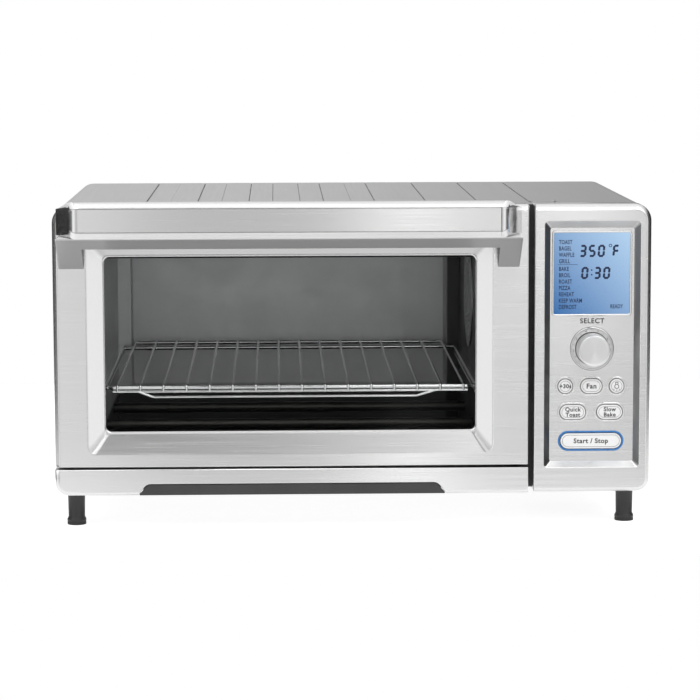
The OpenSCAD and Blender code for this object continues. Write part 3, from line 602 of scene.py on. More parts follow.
def wire(points, r, sides=12):
    """Vertices and faces of a round wire along a path, with flat ends."""
    rings = []
    side = None
    for i, p in enumerate(points):
        ahead = points[min(i + 1, len(points) - 1)] - points[max(i - 1, 0)]
        d = ahead.normalized()
        if side is None:
            side = d.orthogonal().normalized()
        side = (side - d * side.dot(d)).normalized()
        up = d.cross(side)
        rings.append([p + side * u + up * v for u, v in spokes(r, sides)])
    return loft(rings, False)


def merged(shapes):
    """Several (vertices, faces) as one."""
    verts, faces = [], []
    for v, f in shapes:
        start = len(verts)
        verts += list(v)
        faces += [tuple(i + start for i in face) for face in f]
    return verts, faces


def soften(obj, width):
    """Rounds an object's sharp edges with a bevel that leaves its mesh data alone."""
    weld = obj.modifiers.new("weld", "WELD")
    weld.merge_threshold = 2e-6
    bevel = obj.modifiers.new("edges", "BEVEL")
    bevel.width = width
    bevel.segments = 2
    bevel.limit_method = "ANGLE"
    bevel.angle_limit = math.radians(40)
    bevel.use_clamp_overlap = True
    even = obj.modifiers.new("normals", "WEIGHTED_NORMAL")
    even.keep_sharp = True
    even.weight = 80


def lettering(name, text, size, cx, y, cz, material, align="CENTER", bold=0.0, squeeze=1.0):
    """Generic wording as a thin flat mesh that faces -Y."""
    curve = bpy.data.curves.new(name, "FONT")
    curve.body = text
    curve.size = size
    curve.align_x = align
    curve.align_y = "CENTER"
    curve.extrude = 0.00004
    curve.offset = bold
    curve.resolution_u = 3
    curve.space_character = 1.1
    obj = placed(name, curve)
    obj.matrix_world = (Matrix.Translation((cx, y, cz)) @ Matrix.Rotation(math.pi / 2, 4, "X")
                        @ Matrix.Diagonal((squeeze, 1, 1, 1)))
    mesh = evaluated(obj)
    mesh.transform(obj.matrix_world)
    bpy.data.objects.remove(obj)
    mesh.materials.clear()
    mesh.materials.append(material)
    return placed(name, mesh)


# ---- carried-over CAD nodes

def dress(material, width, names):
    """Gives CAD nodes a material and rounds their edges by a width in millimetres, unless it is 0."""
    for name in names.split():
        obj = NODES[name]
        obj.data.materials.clear()
        obj.data.materials.append(material)
        smooth_under(obj.data, 30)
        if width:
            soften(obj, width * MM)


for material, width, names in (
        (STEEL_X, 0.2, "control_panel"), (STEEL_Y, 0.4, "outer_wrap"), (CAVITY, 0.3, "cavity_liner"),
        (GALVANISED, 0.3, "rear_panel recess_cover base_pan heat_shield motor_bracket"),
        (GALVANISED, 0.3, "fan_housing fan_grille"), (BLACK_PLASTIC_AND_SHADE, 0.3, "cord_gland"),
        (DARK_STEEL_AND_SHADE, 0.3, "front_frame crumb_tray door_inner_panel fan_motor"),
        (CHROME, 0.3, "rack_guide_left rack_guide_right"), (BOARD, 0.3, "control_board power_board"),
        (SHEATH, 0, "heater_upper_front heater_upper_rear heater_lower_front heater_lower_rear"),
        (SHEATH, 0, "temperature_probe"), (CERAMIC, 0, "heater_holders lamp_socket"),
        (SCREW, 0, "fan_shaft rear_screws foot_screws handle_screws hinge_pins encoder"),
        (GLASS, 0, "door_glass lamp_lens lamp_bulb"), (CAST, 0, "convection_fan cooling_fan"),
        (CLEAR, 0, "display_window"), (LIT, 0, "display_lcd"), (RUBBER, 0, "foot_pads glass_gasket")):
    dress(material, width, names)


# ---- door

def build_door_frame():
    """Pressed steel door: rolled outer edge, flat face, bevel down to the window, glass ledge."""
    window = rounded(WINDOW_LO, WINDOW_HI, 5.3 * MM)
    bevel = rounded(BEVEL_LO, BEVEL_HI, 8 * MM)
    glass_y = GLASS_LO[1]
    rings = sunk(bevel, window, glass_y, 0.7 * MM, ((-2, 0), (-1, 0), (-0.3, 0.06), (0.4, 0.3)),
                 (0.12, 0.3, 0.75, 0.9))
    for inward, ahead in ((-1.0, 1.0), (-0.1, 0.15), (0.15, 0.1), (0.15, 0.0)):
        rings.append(upright(inset(window, inward * MM), glass_y - ahead * MM))
    ledge = rounded(*grown(WINDOW_LO, WINDOW_HI, 8 * MM), 6 * MM)
    rings += [upright(ledge, glass_y), upright(ledge, glass_y - SHEET)]
    rings.append(upright(rounded(*grown(BEVEL_LO, BEVEL_HI, 1 * MM), 9 * MM), FACE_Y + SHEET))
    behind = ((7 * MM, FACE_Y + SHEET), (SHEET, FACE_Y + 7 * MM))
    shell = pressed_frame("door_frame", mm(3, 1.5, 2, 15), mm(4.4, 1.2, 1.2, 5.4), rings, behind)
    obj = piece("door_shell", *shell, STEEL_X, 28)
    cut_pockets(obj)
    return joined("door_shell", [obj] + door_knuckles())


def cut_pockets(obj):
    """Takes the pockets for the two hinge lugs out of the door's lower edge."""
    z0 = DOOR_LO[2]
    boxes = [slab(x - 5 * MM, x + 5 * MM, z0 - 1 * MM, z0 + 9.2 * MM, FACE_Y + 1.25 * MM,
                  DOOR_HI[1] + 1 * MM) for x in LUG_XS]
    cutter = piece("cutter", *merged(boxes), STEEL_X)
    cut = obj.modifiers.new("pockets", "BOOLEAN")
    cut.object = cutter
    cut.operation = "DIFFERENCE"
    cut.solver = "EXACT"
    shaped = evaluated(obj)
    obj.modifiers.clear()
    obj.data = shaped
    bpy.data.objects.remove(cutter)


def door_knuckles():
    """Small blocks on the door, either side of each hinge lug, that hold the hinge pins."""
    z0 = DOOR_LO[2]
    boxes = [slab(x - 2 * MM, x + 2 * MM, z0 + 1.4 * MM, z0 + 9 * MM, FACE_Y + 1 * MM, FACE_Y + 9 * MM)
             for lug in LUG_XS for x in (lug - 7 * MM, lug + 7 * MM)]
    return [piece("knuckle", *box, STEEL_X) for box in boxes]


def bar_profile():
    """Side view of the handle above its lip, from the door over the bar and back: (y, z) points.
    The second point and the last but one are where the bar ends between the legs."""
    front, top = HANDLE_LO[1], HANDLE_HI[2]
    nose = stepped(front, top, (9, 0), (7.4, -0.1), (5.6, -0.8), (3.9, -1.9), (2.3, -3.2), (1, -4.5),
                   (0.4, -5.4))
    face = stepped(front, top, (1, -5.9), (0, -6.4), (0, -26), (1, -26.5), (0.5, -27))
    low = top - HANDLE_LIP
    return [(FACE_Y, top - 8 * MM), (front + HANDLE_DEEP, top - 1 * MM), *nose, *face,
            (front + 5.6 * MM, low), (front + HANDLE_DEEP, low), (FACE_Y, low)]


def skirt_profile():
    """Side view of the handle below its lip, from the door forward and back down the leg."""
    front = HANDLE_LO[1]
    lip = HANDLE_HI[2] - HANDLE_LIP
    top = lip + 0.4 * MM
    slope_y = front + 17 * MM
    slope_z = lip - 9 * MM
    share = (front + HANDLE_DEEP - slope_y) / (FACE_Y - slope_y)
    seam_z = slope_z + (HANDLE_LO[2] - slope_z) * share
    return [(FACE_Y, top), (front + HANDLE_DEEP, top), *stepped(front, lip, (6.2, 0.4), (6.6, -0.8)),
            (slope_y, slope_z), (front + HANDLE_DEEP, seam_z), (FACE_Y, HANDLE_LO[2])]


def drawn_in(points, core, d):
    """An outline drawn in by d towards a core segment at core[0], from core[1] up to core[2]; points
    on the door stay there."""
    out = []
    for y, z in points:
        core_z = min(max(z, core[1]), core[2])
        away = Vector((y - core[0], z - core_z))
        away *= max(away.length - d, 0) / max(away.length, 1e-9)
        out.append((y if y > FACE_Y - 1e-6 else core[0] + away[0], core_z + away[1]))
    return out


def wrapped(points, d):
    """An end outline of the bar under its top chamfer and over its lower bevel, which go round it."""
    front, top = HANDLE_LO[1], HANDLE_HI[2]
    out = []
    for y, z in points:
        share = (FACE_Y - y) / (FACE_Y - front)
        z = max(z, top - HANDLE_LIP + d * 1.05 * share)
        out.append((y, min(z, top - d * 1.2)))
    return out


def two_legged(outline, core, turn, slant, inward=0.0):
    """Closed loft along X with rounded ends and two legs; between them it stops short of the door."""
    x0, x1 = HANDLE_LO[0] + inward, HANDLE_HI[0] - inward
    n = len(outline)

    def station(x, points, side):
        return [(x + side * slant * (FACE_Y - y), y, z) for y, z in points]

    ends = []
    for k in range(7):
        a = math.radians(90 * k / 6)
        d = turn * (1 - math.sin(a))
        points = drawn_in(outline, core, d)
        ends.append((turn * (1 - math.cos(a)), wrapped(points, d) if slant else points))
    rings = [station(x0 + s, points, 1) for s, points in ends]
    rings.append(station(HANDLE_LO[0] + HANDLE_LEGS[0], outline, 0))
    rings.append(station(HANDLE_HI[0] - HANDLE_LEGS[1], outline, 0))
    rings += [station(x1 - s, points, -1) for s, points in reversed(ends)]
    verts = [v for ring in rings for v in ring]
    faces = [tuple(range(n)), tuple(range(len(verts) - 1, len(verts) - 1 - n, -1))]
    inner = len(ends)
    for i in range(len(rings) - 1):
        a, b = i * n, (i + 1) * n
        span = range(1, n - 2) if i == inner else range(n)
        faces += [(a + k, b + k, b + (k + 1) % n, a + (k + 1) % n) for k in span]
    a, b = inner * n, (inner + 1) * n
    faces.append((a + n - 2, b + n - 2, b + 1, a + 1))
    faces += [(base, base + 1, base + n - 2, base + n - 1) for base in (a, b)]
    return verts, faces


def build_handle():
    """Handle: bar with a chamfered top, grooves round its face, rounded slanted ends, two legs."""
    front, top = HANDLE_LO[1], HANDLE_HI[2]
    turn = 5.5 * MM
    slant = 14 * MM / (FACE_Y - front - turn)
    low = top - HANDLE_LIP
    bar_core = (front + 9 * MM, top - 22 * MM, top - 10 * MM)
    skirt_core = (front + 26 * MM, low - 10 * MM, low - 6 * MM)
    bar = two_legged(bar_profile(), bar_core, turn, slant)
    skirt = two_legged(skirt_profile(), skirt_core, 1.2 * MM, 0.0, 1.8 * MM)
    obj = piece("handle_bar", *merged([bar, skirt]), STEEL_X, 22)
    inner = HANDLE_LO[0] + HANDLE_LEGS[0] - 0.1 * MM, HANDLE_HI[0] - HANDLE_LEGS[1] + 0.1 * MM

    def under(face):
        return face.normal.z < -0.3 and face.center.z < low - 0.9 * MM

    def seam(face):
        return face.normal.z > 0.9 and abs(face.center.z - low - 0.4 * MM) < 0.01 * MM

    def top_end(face):
        return face.normal.z > 0.3 and abs(face.normal.x) > 0.25 and face.center.z > top - 7 * MM

    def leg_side(face):
        return abs(face.normal.x) > 0.9 and inner[0] < face.center.x < inner[1]

    # Painted shade on faces that look down below the lip and on the legs' inner sides; painted highlight
    # on the lip's top and on the tops of the slanted ends.
    return shade_walls(obj, ((STEEL_SHADED, under), (SATIN_HIGHLIGHT, seam), (SATIN_HIGHLIGHT, top_end),
                             (DARK_STEEL_AND_SHADE, leg_side)))


# ---- control column

def in_pocket(face):
    """Whether a face of the control frame is on a wall of its pocket."""
    x, y, z = face.center
    inside = POCKET_LO[0] < x < POCKET_HI[0] and POCKET_LO[1] < z < POCKET_HI[1]
    return inside and FACE_Y + 0.3 * MM < y < PANEL_Y


def build_control_frame():
    """Bezel of the control column: rolled edges and a stepped bevel down to the inner panel."""
    pocket = rounded(POCKET_LO, POCKET_HI, 3.4 * MM)
    well = rounded(WELL_LO, WELL_HI, 2 * MM)
    rings = sunk(pocket, well, PANEL_Y, 0.3 * MM, ((-2, 0), (-1, 0), (-0.2, 0.08), (0.4, 0.5)),
                 (0.1, 0.2, 0.85, 0.96))
    rings += [upright(inset(well, inward), PANEL_Y - 0.02 * MM) for inward in (0, -2.5 * MM)]
    rings.append(upright(inset(pocket, -2 * MM), FACE_Y + SHEET))
    behind = ((7 * MM, FACE_Y + 1.6 * MM), (SHEET, FACE_Y + 8 * MM))
    bezel = pressed_frame("control_frame", mm(1.5, 12, 15, 1.5), mm(1.2, 3.8, 4.2, 5.2), rings, behind)
    obj = piece("control_bezel", *bezel, STEEL_X, 28)
    # Painted shade on the pocket's walls: darkest on its left wall, less on its right wall, least on its
    # top wall.
    return shade_walls(obj, ((STEEL_DARK_SHADE, lambda f: in_pocket(f) and f.normal.x > 0.4),
                             (STEEL_SHADED, lambda f: in_pocket(f) and f.normal.x < -0.4),
                             (STEEL_HALF_SHADE, lambda f: in_pocket(f) and f.normal.z < -0.4)))


def rolled(outline, width, lift, height, steps, inner=None):
    """Closed loft of a half-round bead on the control panel, from an outline in to an inner one."""
    rings = [upright(outline, PANEL_Y)]
    for k in range(steps + 1):
        a = math.pi * k / steps
        rings.append(upright(inset(outline, width / 2 * (1 - math.cos(a))),
                             PANEL_Y - lift - height * math.sin(a)))
    rings.append(upright(inner or inset(outline, width), PANEL_Y))
    return loft(rings, True)


def build_display_bezel():
    """Bright rounded frame round the display."""
    outer = rounded(*grown(LCD_A, LCD_B, 2 * MM), 3 * MM)
    bead = rolled(outer, 2 * MM, 0.2 * MM, 1.0 * MM, 8, rounded(LCD_A, LCD_B, 1.5 * MM))
    return piece("display_trim", *bead, BRIGHT, 50)


# Lit bars of a digit, each from place to place: 0 and 1 are its lower corners, 2 and 3 the middles of
# its sides, 4 and 5 its upper corners
SEGMENTS = {"0": "45 53 31 01 02 24", "3": "45 53 31 01 23", "5": "45 31 01 24 23", "F": "45 02 24 23"}
PRINT = 0.08 * MM  # thickness of the display's marks


def digit(char, x, z, w, h, t, y):
    """Seven-segment digit as flat bars, from its lower left corner."""
    gap = t * 0.04
    nib = t * 0.36
    lean = 0.08
    places = [Vector((u, v)) for v in (0, h / 2, h) for u in (0, w)]
    shapes = []
    for ends in SEGMENTS[char].split():
        start, end = (places[int(n)] for n in ends)
        d = end - start
        length = d.length
        d.normalize()
        n = Vector((-d[1], d[0])) * t / 2
        points = []
        for along, side in ((gap, 0), (nib, 1), (length - nib, 1), (length - gap, 0),
                            (length - nib, -1), (nib, -1)):
            p = start + d * along + n * side
            points.append((x + p[0] + lean * p[1], z + p[1]))
        shapes.append(prism(upright(points, y), upright(points, y + PRINT)))
    return shapes


def build_display_marks():
    """Segments and small words of the display, just behind its clear window."""
    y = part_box("display_lcd")[0][1] - 0.1 * MM
    w = LCD_B[0] - LCD_A[0]
    h = LCD_B[1] - LCD_A[1]
    size = 0.125 * h

    def at(u, v):
        return LCD_A[0] + w * u, LCD_A[1] + h * v

    shapes = []
    for char, u, v, wide in (("3", 0.345, 0.712, 0.48), ("5", 0.467, 0.712, 0.48),
                             ("0", 0.589, 0.712, 0.48), ("F", 0.785, 0.712, 0.46),
                             ("0", 0.372, 0.44, 0.48), ("3", 0.537, 0.44, 0.48), ("0", 0.66, 0.44, 0.48)):
        shapes += digit(char, *at(u, v), size * wide, size, size * 0.22, y)
    for v in (0.472, 0.53):
        x, z = at(0.49, v)
        shapes.append(slab(x, x + 1.3 * MM, z, z + 1.3 * MM, y, y + PRINT))
    shapes.append(flat_hoop(*at(0.745, 0.84), 0.9 * MM, 1.5 * MM, y, PRINT, 20))
    x, z = at(0.055, 0.604)
    shapes.append(slab(x, x + 0.26 * w, z, z + 0.35 * MM, y, y + PRINT))
    parts = [piece("marks", *merged(shapes), INK_NAVY)]

    def words(name, text, high, u, v, align):
        x, z = at(u, v)
        parts.append(lettering(name, text, high * MM, x, y, z, INK_NAVY, align, 0.12 * MM, 0.68))

    rows = ("TOAST", "BAGEL", "WAFFLE", "GRILL", "BAKE", "BROIL", "ROAST", "PIZZA", "REHEAT",
            "KEEP WARM", "DEFROST")
    for k, word in enumerate(rows):
        words("row", word, 5.2, 0.066, 0.882 - 0.0785 * k - (0.016 if k > 3 else 0.0), "LEFT")
    words("ready", "READY", 5.0, 0.915, 0.086, "RIGHT")
    return joined("display_marks", parts)


def build_knob():
    """Spun metal knob: turned face, bright rim, tapered side with a flange, and its stem."""
    front = KNOB_LO[1]
    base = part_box("button_rings")[0][1] - 1.9 * MM
    r = KNOB_R
    profile = [(0.02 * MM, front + 0.55 * MM)]
    profile += [(r * 0.80 * k / 12, front + (0.55 - 0.25 * k / 12) * MM) for k in range(1, 12)]
    profile += stepped(r, front, (-2.2, 0.25), (-1.9, 0), (-1.1, 0), (-0.75, 0.25), (-0.55, 0.8),
                       (-0.45, 2))
    profile += stepped(r, base, (0, -1), (0, 0), (-2, 0), (-2, -4))
    cap = loft(lathe(profile, KNOB_X, KNOB_Z, 96), False)
    stem_profile = [(3 * MM, base - 4 * MM), (3 * MM, KNOB_HI[1])]
    stem = loft(lathe(stem_profile, KNOB_X, KNOB_Z, 32), False)
    return piece("knob_cap", *merged([cap, stem]), spun_metal("spun_aluminium"), 30)


def build_dial():
    """Dial round the knob: a shallow raised ring, thin dark rings of painted shadow in the gaps round it
    and round the knob, ticks and small numbers.
    """
    cx, cz = (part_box("encoder")[0][axis] + 7 * MM for axis in (0, 2))
    outer = DIAL_R
    profile = stepped(outer, PANEL_Y, (0, 0), (0, -0.35), (-0.3, -0.55), (-0.9, -0.55), (-1.2, -0.2),
                      (-6.7, -0.2), (-6.7, 0))
    ring = piece("dial_plate", *loft(lathe(profile, cx, cz, 96), True), BRIGHT, 30)
    y = PANEL_Y - 0.25 * MM
    parts = []
    # Painted shadow: thin dark rings stand in for the shade in the gap round the dial and the gap round
    # the knob.
    for name, r0, r1, ry in (("dial_shadow_gap", outer, outer + 0.45 * MM, PANEL_Y - 0.1 * MM),
                             ("knob_shadow_gap", KNOB_R + 0.1 * MM, KNOB_R + 0.7 * MM, y)):
        parts.append(piece(name, *flat_hoop(cx, cz, r0, r1, ry, 0.08 * MM, 96), INK_AND_SHADE, 30))
    for k in range(8):
        a = math.radians(-135 + 38.5 * k)
        x = cx + 16.4 * MM * math.sin(a)
        z = cz + 16.4 * MM * math.cos(a)
        parts.append(lettering("number", str(k + 1), 2.9 * MM, x, y, z, INK_AND_SHADE))
        if k < 7:
            parts.append(tick(cx, cz, y, a + math.radians(19)))
    return ring, joined("dial_marks", parts)


def tick(cx, cz, y, angle):
    """Short line on the dial between two numbers."""
    out = Vector((math.sin(angle), 0, math.cos(angle)))
    p = Vector((cx, y, cz)) + out * 16.3 * MM
    d = out * 1.1 * MM
    side = Vector((math.cos(angle), 0, -math.sin(angle))) * 0.14 * MM
    corners = [p - d - side, p - d + side, p + d + side, p + d - side]
    return piece("tick", *prism(corners, [c + Vector((0, 0.06 * MM, 0)) for c in corners]), INK_AND_SHADE)


BUTTON_COLLAR = 1.2 * MM  # how far a button's flange reaches past its cap


def build_button(name, node, label, size, line=None):
    """Push button: cap with a rolled edge and a groove whose floor is painted dark as shade, flange, stem,
    and its wording or icon.
    """
    lo, hi = lo_hi(node)
    cx, cz = middle(lo, hi, 0), middle(lo, hi, 2)
    w = hi[0] - lo[0] - 2 * BUTTON_COLLAR
    h = hi[2] - lo[2] - 2 * BUTTON_COLLAR
    front = lo[1]
    y0 = PANEL_Y + 1.7 * MM
    outline = inset(pill(cx, cz, w, h), 0.25 * MM)
    rings = [upright(outline, y0)]
    for k in range(6):
        a = math.radians(90 * k / 5)
        rings.append(upright(inset(outline, 0.8 * MM * (1 - math.cos(a))),
                             front + 0.15 * MM + 0.6 * MM * (1 - math.sin(a))))
    for inward, drop in ((1.35, 0.15), (1.45, 0.5), (1.7, 0.5), (1.85, 0.12), (2.6, 0.04)):
        rings.append(upright(inset(outline, inward * MM), front + drop * MM))
    rings.append(upright(inset(outline, h / 2 - 0.8 * MM), front))
    flange = pill(cx, cz, hi[0] - lo[0], hi[2] - lo[2])
    stem = lathe([(2.5 * MM, y0 + 0.5 * MM), (2.5 * MM, hi[1])], cx, cz, 20)
    lofts = (rings, [upright(flange, y0), upright(flange, y0 + 1.2 * MM)], stem)
    body = joined(name + "_body", [piece("part", *loft(rings, False), BUTTON) for rings in lofts])
    smooth_under(body.data, 50)

    # Parts behind the panel are black plastic; the groove's floor is painted shade.
    def dark(face):
        in_groove = abs(face.center.y - front - 0.5 * MM) < 0.02 * MM and face.normal.y < -0.9
        return face.center.y > PANEL_Y + 1 * MM or in_groove

    shade_walls(body, [(BLACK_PLASTIC_AND_SHADE, dark)])
    y = front - 0.02 * MM
    if label == "lamp":
        mark = build_lamp_icon(cx, cz, y)
    elif line:
        rows = [lettering("row", text, size, cx, y, cz + rise, INK_AND_SHADE, bold=0.14 * MM)
                for text, rise in ((label, 2.4 * MM), (line, -2.4 * MM))]
        mark = joined("mark", rows)
    else:
        mark = lettering("mark", label, size, cx, y, cz, INK_AND_SHADE, bold=0.16 * MM)
    mark.name = name + "_mark"
    return body, mark


def build_lamp_icon(cx, cz, y):
    """Small bulb outline with a cap on top and three rays below."""
    thick = 0.05 * MM
    shapes = [flat_hoop(cx, cz - 0.3 * MM, 1.55 * MM, 2.1 * MM, y, thick, 28)]
    bars = [(0, 1.3, 3.2, 3.9), (0, 0.28, -4.1, -3.1)]
    bars += [(s * 1.05, 0.25, 1.5, 3.3) for s in (-1, 1)] + [(s * 2.5, 0.3, -3.3, -2.5) for s in (-1, 1)]
    for x, half, low, high in bars:
        shapes.append(slab(cx + (x - half) * MM, cx + (x + half) * MM, cz + low * MM, cz + high * MM,
                           y, y + thick))
    return piece("bulb_icon", *merged(shapes), INK_AND_SHADE)


def build_rims(nodes, name, material):
    """Rolled rims on the panel round the given buttons."""
    reach = 2.1 * MM - BUTTON_COLLAR
    parts = []
    for node in nodes:
        lo, hi = lo_hi(node)
        outer = pill(middle(lo, hi, 0), middle(lo, hi, 2), hi[0] - lo[0] + 2 * reach,
                     hi[2] - lo[2] + 2 * reach)
        parts.append(piece("rim", *rolled(outer, 1.8 * MM, 0.15 * MM, 0.65 * MM, 7), material, 50))
    made = joined(name, parts)
    smooth_under(made.data, 50)
    return made


# ---- base, tray, feet, rack

def notch():
    """Trapezoid with curved shoulders that the tray's front fills, from left to right: (x, z)."""
    z0 = BASE_LO[2]
    rise = TRAY_HI[2] + 0.6 * MM - z0
    shoulder = 9 * MM * 1.15
    steps = 6
    curve = [(shoulder * (k / steps - 0.1), z0 + rise * math.sin(k / steps * math.pi / 2))
             for k in range(steps + 1)]
    return ([(TRAY_LO[0] + x, z) for x, z in curve]
            + [(TRAY_HI[0] - x, z) for x, z in reversed(curve)])


def build_base():
    """Fixed panel under the door: rounded lower corner, rolled edges and the tray's notch."""
    x0, z0 = BASE_LO[0], BASE_LO[2]
    x1, z1 = BASE_HI[0], BASE_HI[2]
    r = 12 * MM
    outline = [p[:2] for p in arc(x0 + r, z0 + r, r, 180, 8)] + notch()
    outline += [(x1, z0), (x1, z1), (x0, z1)]
    verts, faces = prism(upright(outline, FACE_Y), upright(outline, SHELL_Y))
    obj = piece("base_fascia", verts, faces, STEEL_X, 28)
    form = bmesh.new()
    form.from_mesh(obj.data)
    weights = form.edges.layers.float.new("bevel_weight_edge")
    for e in form.edges:
        a, b = e.verts[0].co, e.verts[1].co
        if abs(a.y - FACE_Y) > 1e-6 or abs(b.y - FACE_Y) > 1e-6:
            continue
        mid = (a + b) / 2
        if mid.z > z1 - 0.1 * MM or mid.x > x1 - 0.1 * MM:
            e[weights] = 0.2
        elif mid.x < x0 + r + 0.1 * MM:
            e[weights] = 1.0
        elif abs(mid.z - z0) < 0.1 * MM:
            e[weights] = 0.7
        else:
            e[weights] = 0.12
    form.to_mesh(obj.data)
    form.free()
    bevel = obj.modifiers.new("edges", "BEVEL")
    bevel.limit_method = "WEIGHT"
    bevel.width = 4.2 * MM
    bevel.segments = 5
    bevel.use_clamp_overlap = False
    return obj


def build_foot(node):
    """Turned foot with a flange on top and a flared end."""
    lo, hi = lo_hi(node)
    r, z0, z1 = 7.5 * MM, lo[2], hi[2]
    profile = stepped(r, z0, (-3, 0), (0.9, 0), (1.1, 0.5), (1.1, 1.6), (0.7, 2.6), (-0.1, 4))
    profile += stepped(r, z1, (0.25, -4), (0.6, -2), (1.3, -1.4), (1.3, 0), (-5.4, 0))
    profile += stepped(r, z0, (-5.4, 11), (-3, 11))
    rings = lathe_up(profile, middle(lo, hi, 0), middle(lo, hi, 1))
    return piece(node + "_leg", *loft(rings, True), BLACK_PLASTIC_AND_SHADE)


def build_rack():
    """Chromed rack: thick frame rod, sixteen wires bent down over the front, pull loop."""
    rail = 2 * MM
    thin = 1.3 * MM
    guide_lo, guide_hi = lo_hi("rack_guide_left")
    z = guide_lo[2] + 5.3 * MM
    top = z + rail + 0.2 * MM
    low = z - 3.5 * MM
    loop = low - 5 * MM
    hook_y = RACK_LO[1] + thin + 0.3 * MM
    front = hook_y + 2 * MM
    mid = guide_hi[1] - 6 * MM
    notch_y = mid + 4 * MM
    back = RACK_HI[1] - rail
    half = (RACK_HI[0] - RACK_LO[0]) / 2 - rail
    x0, x1 = CAVITY_X - half, CAVITY_X + half
    count = 16
    pitch = 20.8 * MM
    first = CAVITY_X - (count - 1) / 2 * pitch
    last = first + (count - 1) * pitch
    shapes = []

    def run(points, r, bend=5 * MM):
        shapes.append(wire(round_corners(points, bend), r))

    run([(x0, mid, z), (x0, front, z), (x1, front, z), (x1, mid, z)], rail, 9 * MM)
    run([(x0 + rail, mid, z), (x1 - rail, mid, z)], rail)
    for x, inward in ((x0, 9 * MM), (x1, -9 * MM)):
        run([(x, mid, z), (x, notch_y, z), (x + inward, notch_y, z)], rail, 3 * MM)
    run([(first - 1.6 * MM, back, z), (last + 1.6 * MM, back, z)], rail)
    for k in range(count):
        x = first + k * pitch
        run([(x, back, top), (x, hook_y, top), (x, hook_y, low)], thin, 3.5 * MM)
    run([(first - 4 * MM, hook_y + 0.4 * MM, low), (last + 4 * MM, hook_y + 0.4 * MM, low)], thin)
    run([(first + 19 * MM, hook_y, low), (first + 32 * MM, hook_y, loop),
         (last - 42 * MM, hook_y, loop), (last - 25 * MM, hook_y, low)], thin, 8 * MM)
    return piece("rack_wirework", *merged(shapes), CHROME, 40)


def build_tray_front():
    """Dark lip of the crumb tray that fills the notch in the base panel."""
    gap = 0.5 * MM
    z0 = BASE_LO[2]
    mid = middle(TRAY_LO, TRAY_HI, 0)
    outline = [(x + (gap if x < mid else -gap), max(z - gap, z0 + 0.1 * MM)) for x, z in notch()]
    face = TRAY_LO[1] + 0.3 * MM
    lean = 0.4 * MM  # how much further back the face's lower edge is
    front = [(x, face + (0.0 if z > z0 + 3 * MM else lean), z) for x, z in outline]
    obj = piece("tray_lip", *prism(front, upright(outline, TRAY_LO[1] + 2.4 * MM)), DARK_STEEL_AND_SHADE, 28)
    soften(obj, 0.4 * MM)
    return obj


def build_creases():
    """Fine shaded lines where the ribs are pressed up out of the top."""
    top = WRAP_HI[2] - 1 * MM
    pitch, half, count = 46.1 * MM, 12 * MM, 9
    first = -pitch * (count - 1) / 2 - 12.2 * MM
    near, far = SHELL_Y + 14 * MM, WRAP_HI[1] - 16 * MM
    shapes = []
    for k in range(count):
        x = first + k * pitch
        outline = rounded((x - half, near), (x + half, far), 5 * MM)
        rings = []
        for out, up in ((0.05, -0.1), (0.05, 0.05), (0.65, 0.05), (0.65, -0.1)):
            rings.append([(u, v, top + up * MM) for u, v, _, _ in inset(outline, -out * MM)])
        shapes.append(loft(rings, True))
    return piece("rib_creases", *merged(shapes), DARK_STEEL_AND_SHADE, 30)


# ---- put together

fit(build_door_frame(), "door", "brushed_steel", "door_frame")
fit(build_handle(), "door", "handle_metal", "door_handle")
fit(build_control_frame(), "housing", "brushed_steel", "control_frame")
fit(build_display_bezel(), "housing", "display_silver", "display_bezel")
fit(build_display_marks(), "housing", "display_blue")
fit(build_knob(), "knob", "knob_aluminium", "selector_knob")
for part in build_dial():
    fit(part, "housing", "display_silver")
BUTTONS = (("add_time", "+30s", 5.0, None), ("fan", "Fan", 6.2, None), ("lamp", "lamp", 0, None),
           ("toast", "Quick", 5.2, "Toast"), ("bake", "Slow", 5.2, "Bake"),
           ("start", "Start / Stop", 6.0, None))
for key, label, size, line in BUTTONS:
    node = "button_" + key
    body, mark = build_button(key, node, label, size * MM, line)
    fit(body, node, "button_plastic", node)
    fit(mark, node, "button_plastic")
small = ["button_" + row[0] for row in BUTTONS[:5]]
fit(build_rims(small, "button_rims", BRIGHT), "housing", "display_silver", "button_rings")
fit(build_rims(["button_start"], "start_rim", RING_BLUE), "housing", "ring_blue", "start_ring")
label_z = (LCD_A[1] + KNOB_Z + DIAL_R) / 2 - 0.5 * MM
heading = lettering("dial_heading", "SELECT", 6.2 * MM, KNOB_X, PANEL_Y - 0.03 * MM, label_z, INK_AND_SHADE,
                    bold=0.14 * MM)
fit(heading, "housing", "brushed_steel")
fit(build_base(), "housing", "brushed_steel", "base_front_panel")
for corner in ("front_left", "front_right", "rear_left", "rear_right"):
    fit(build_foot("foot_" + corner), "housing", "black_plastic", "foot_" + corner)
fit(build_rack(), "rack", "chrome_wire", "oven_rack")
fit(build_creases(), "housing", "brushed_steel")
fit(build_tray_front(), "tray", "dark_steel")


# ---- stage, light, camera

def build_floor():
    """Pale floor under the oven; it ends a little in front of the handle."""
    outline = [(p[0], p[1], 0) for p in rounded((-0.8, -0.31), (0.8, 0.8), 0.1)]
    piece("floor", outline, [tuple(range(len(outline)))], paper("floor_paper"))


WALL = 0.62  # brightness of the studio at the height of the horizon


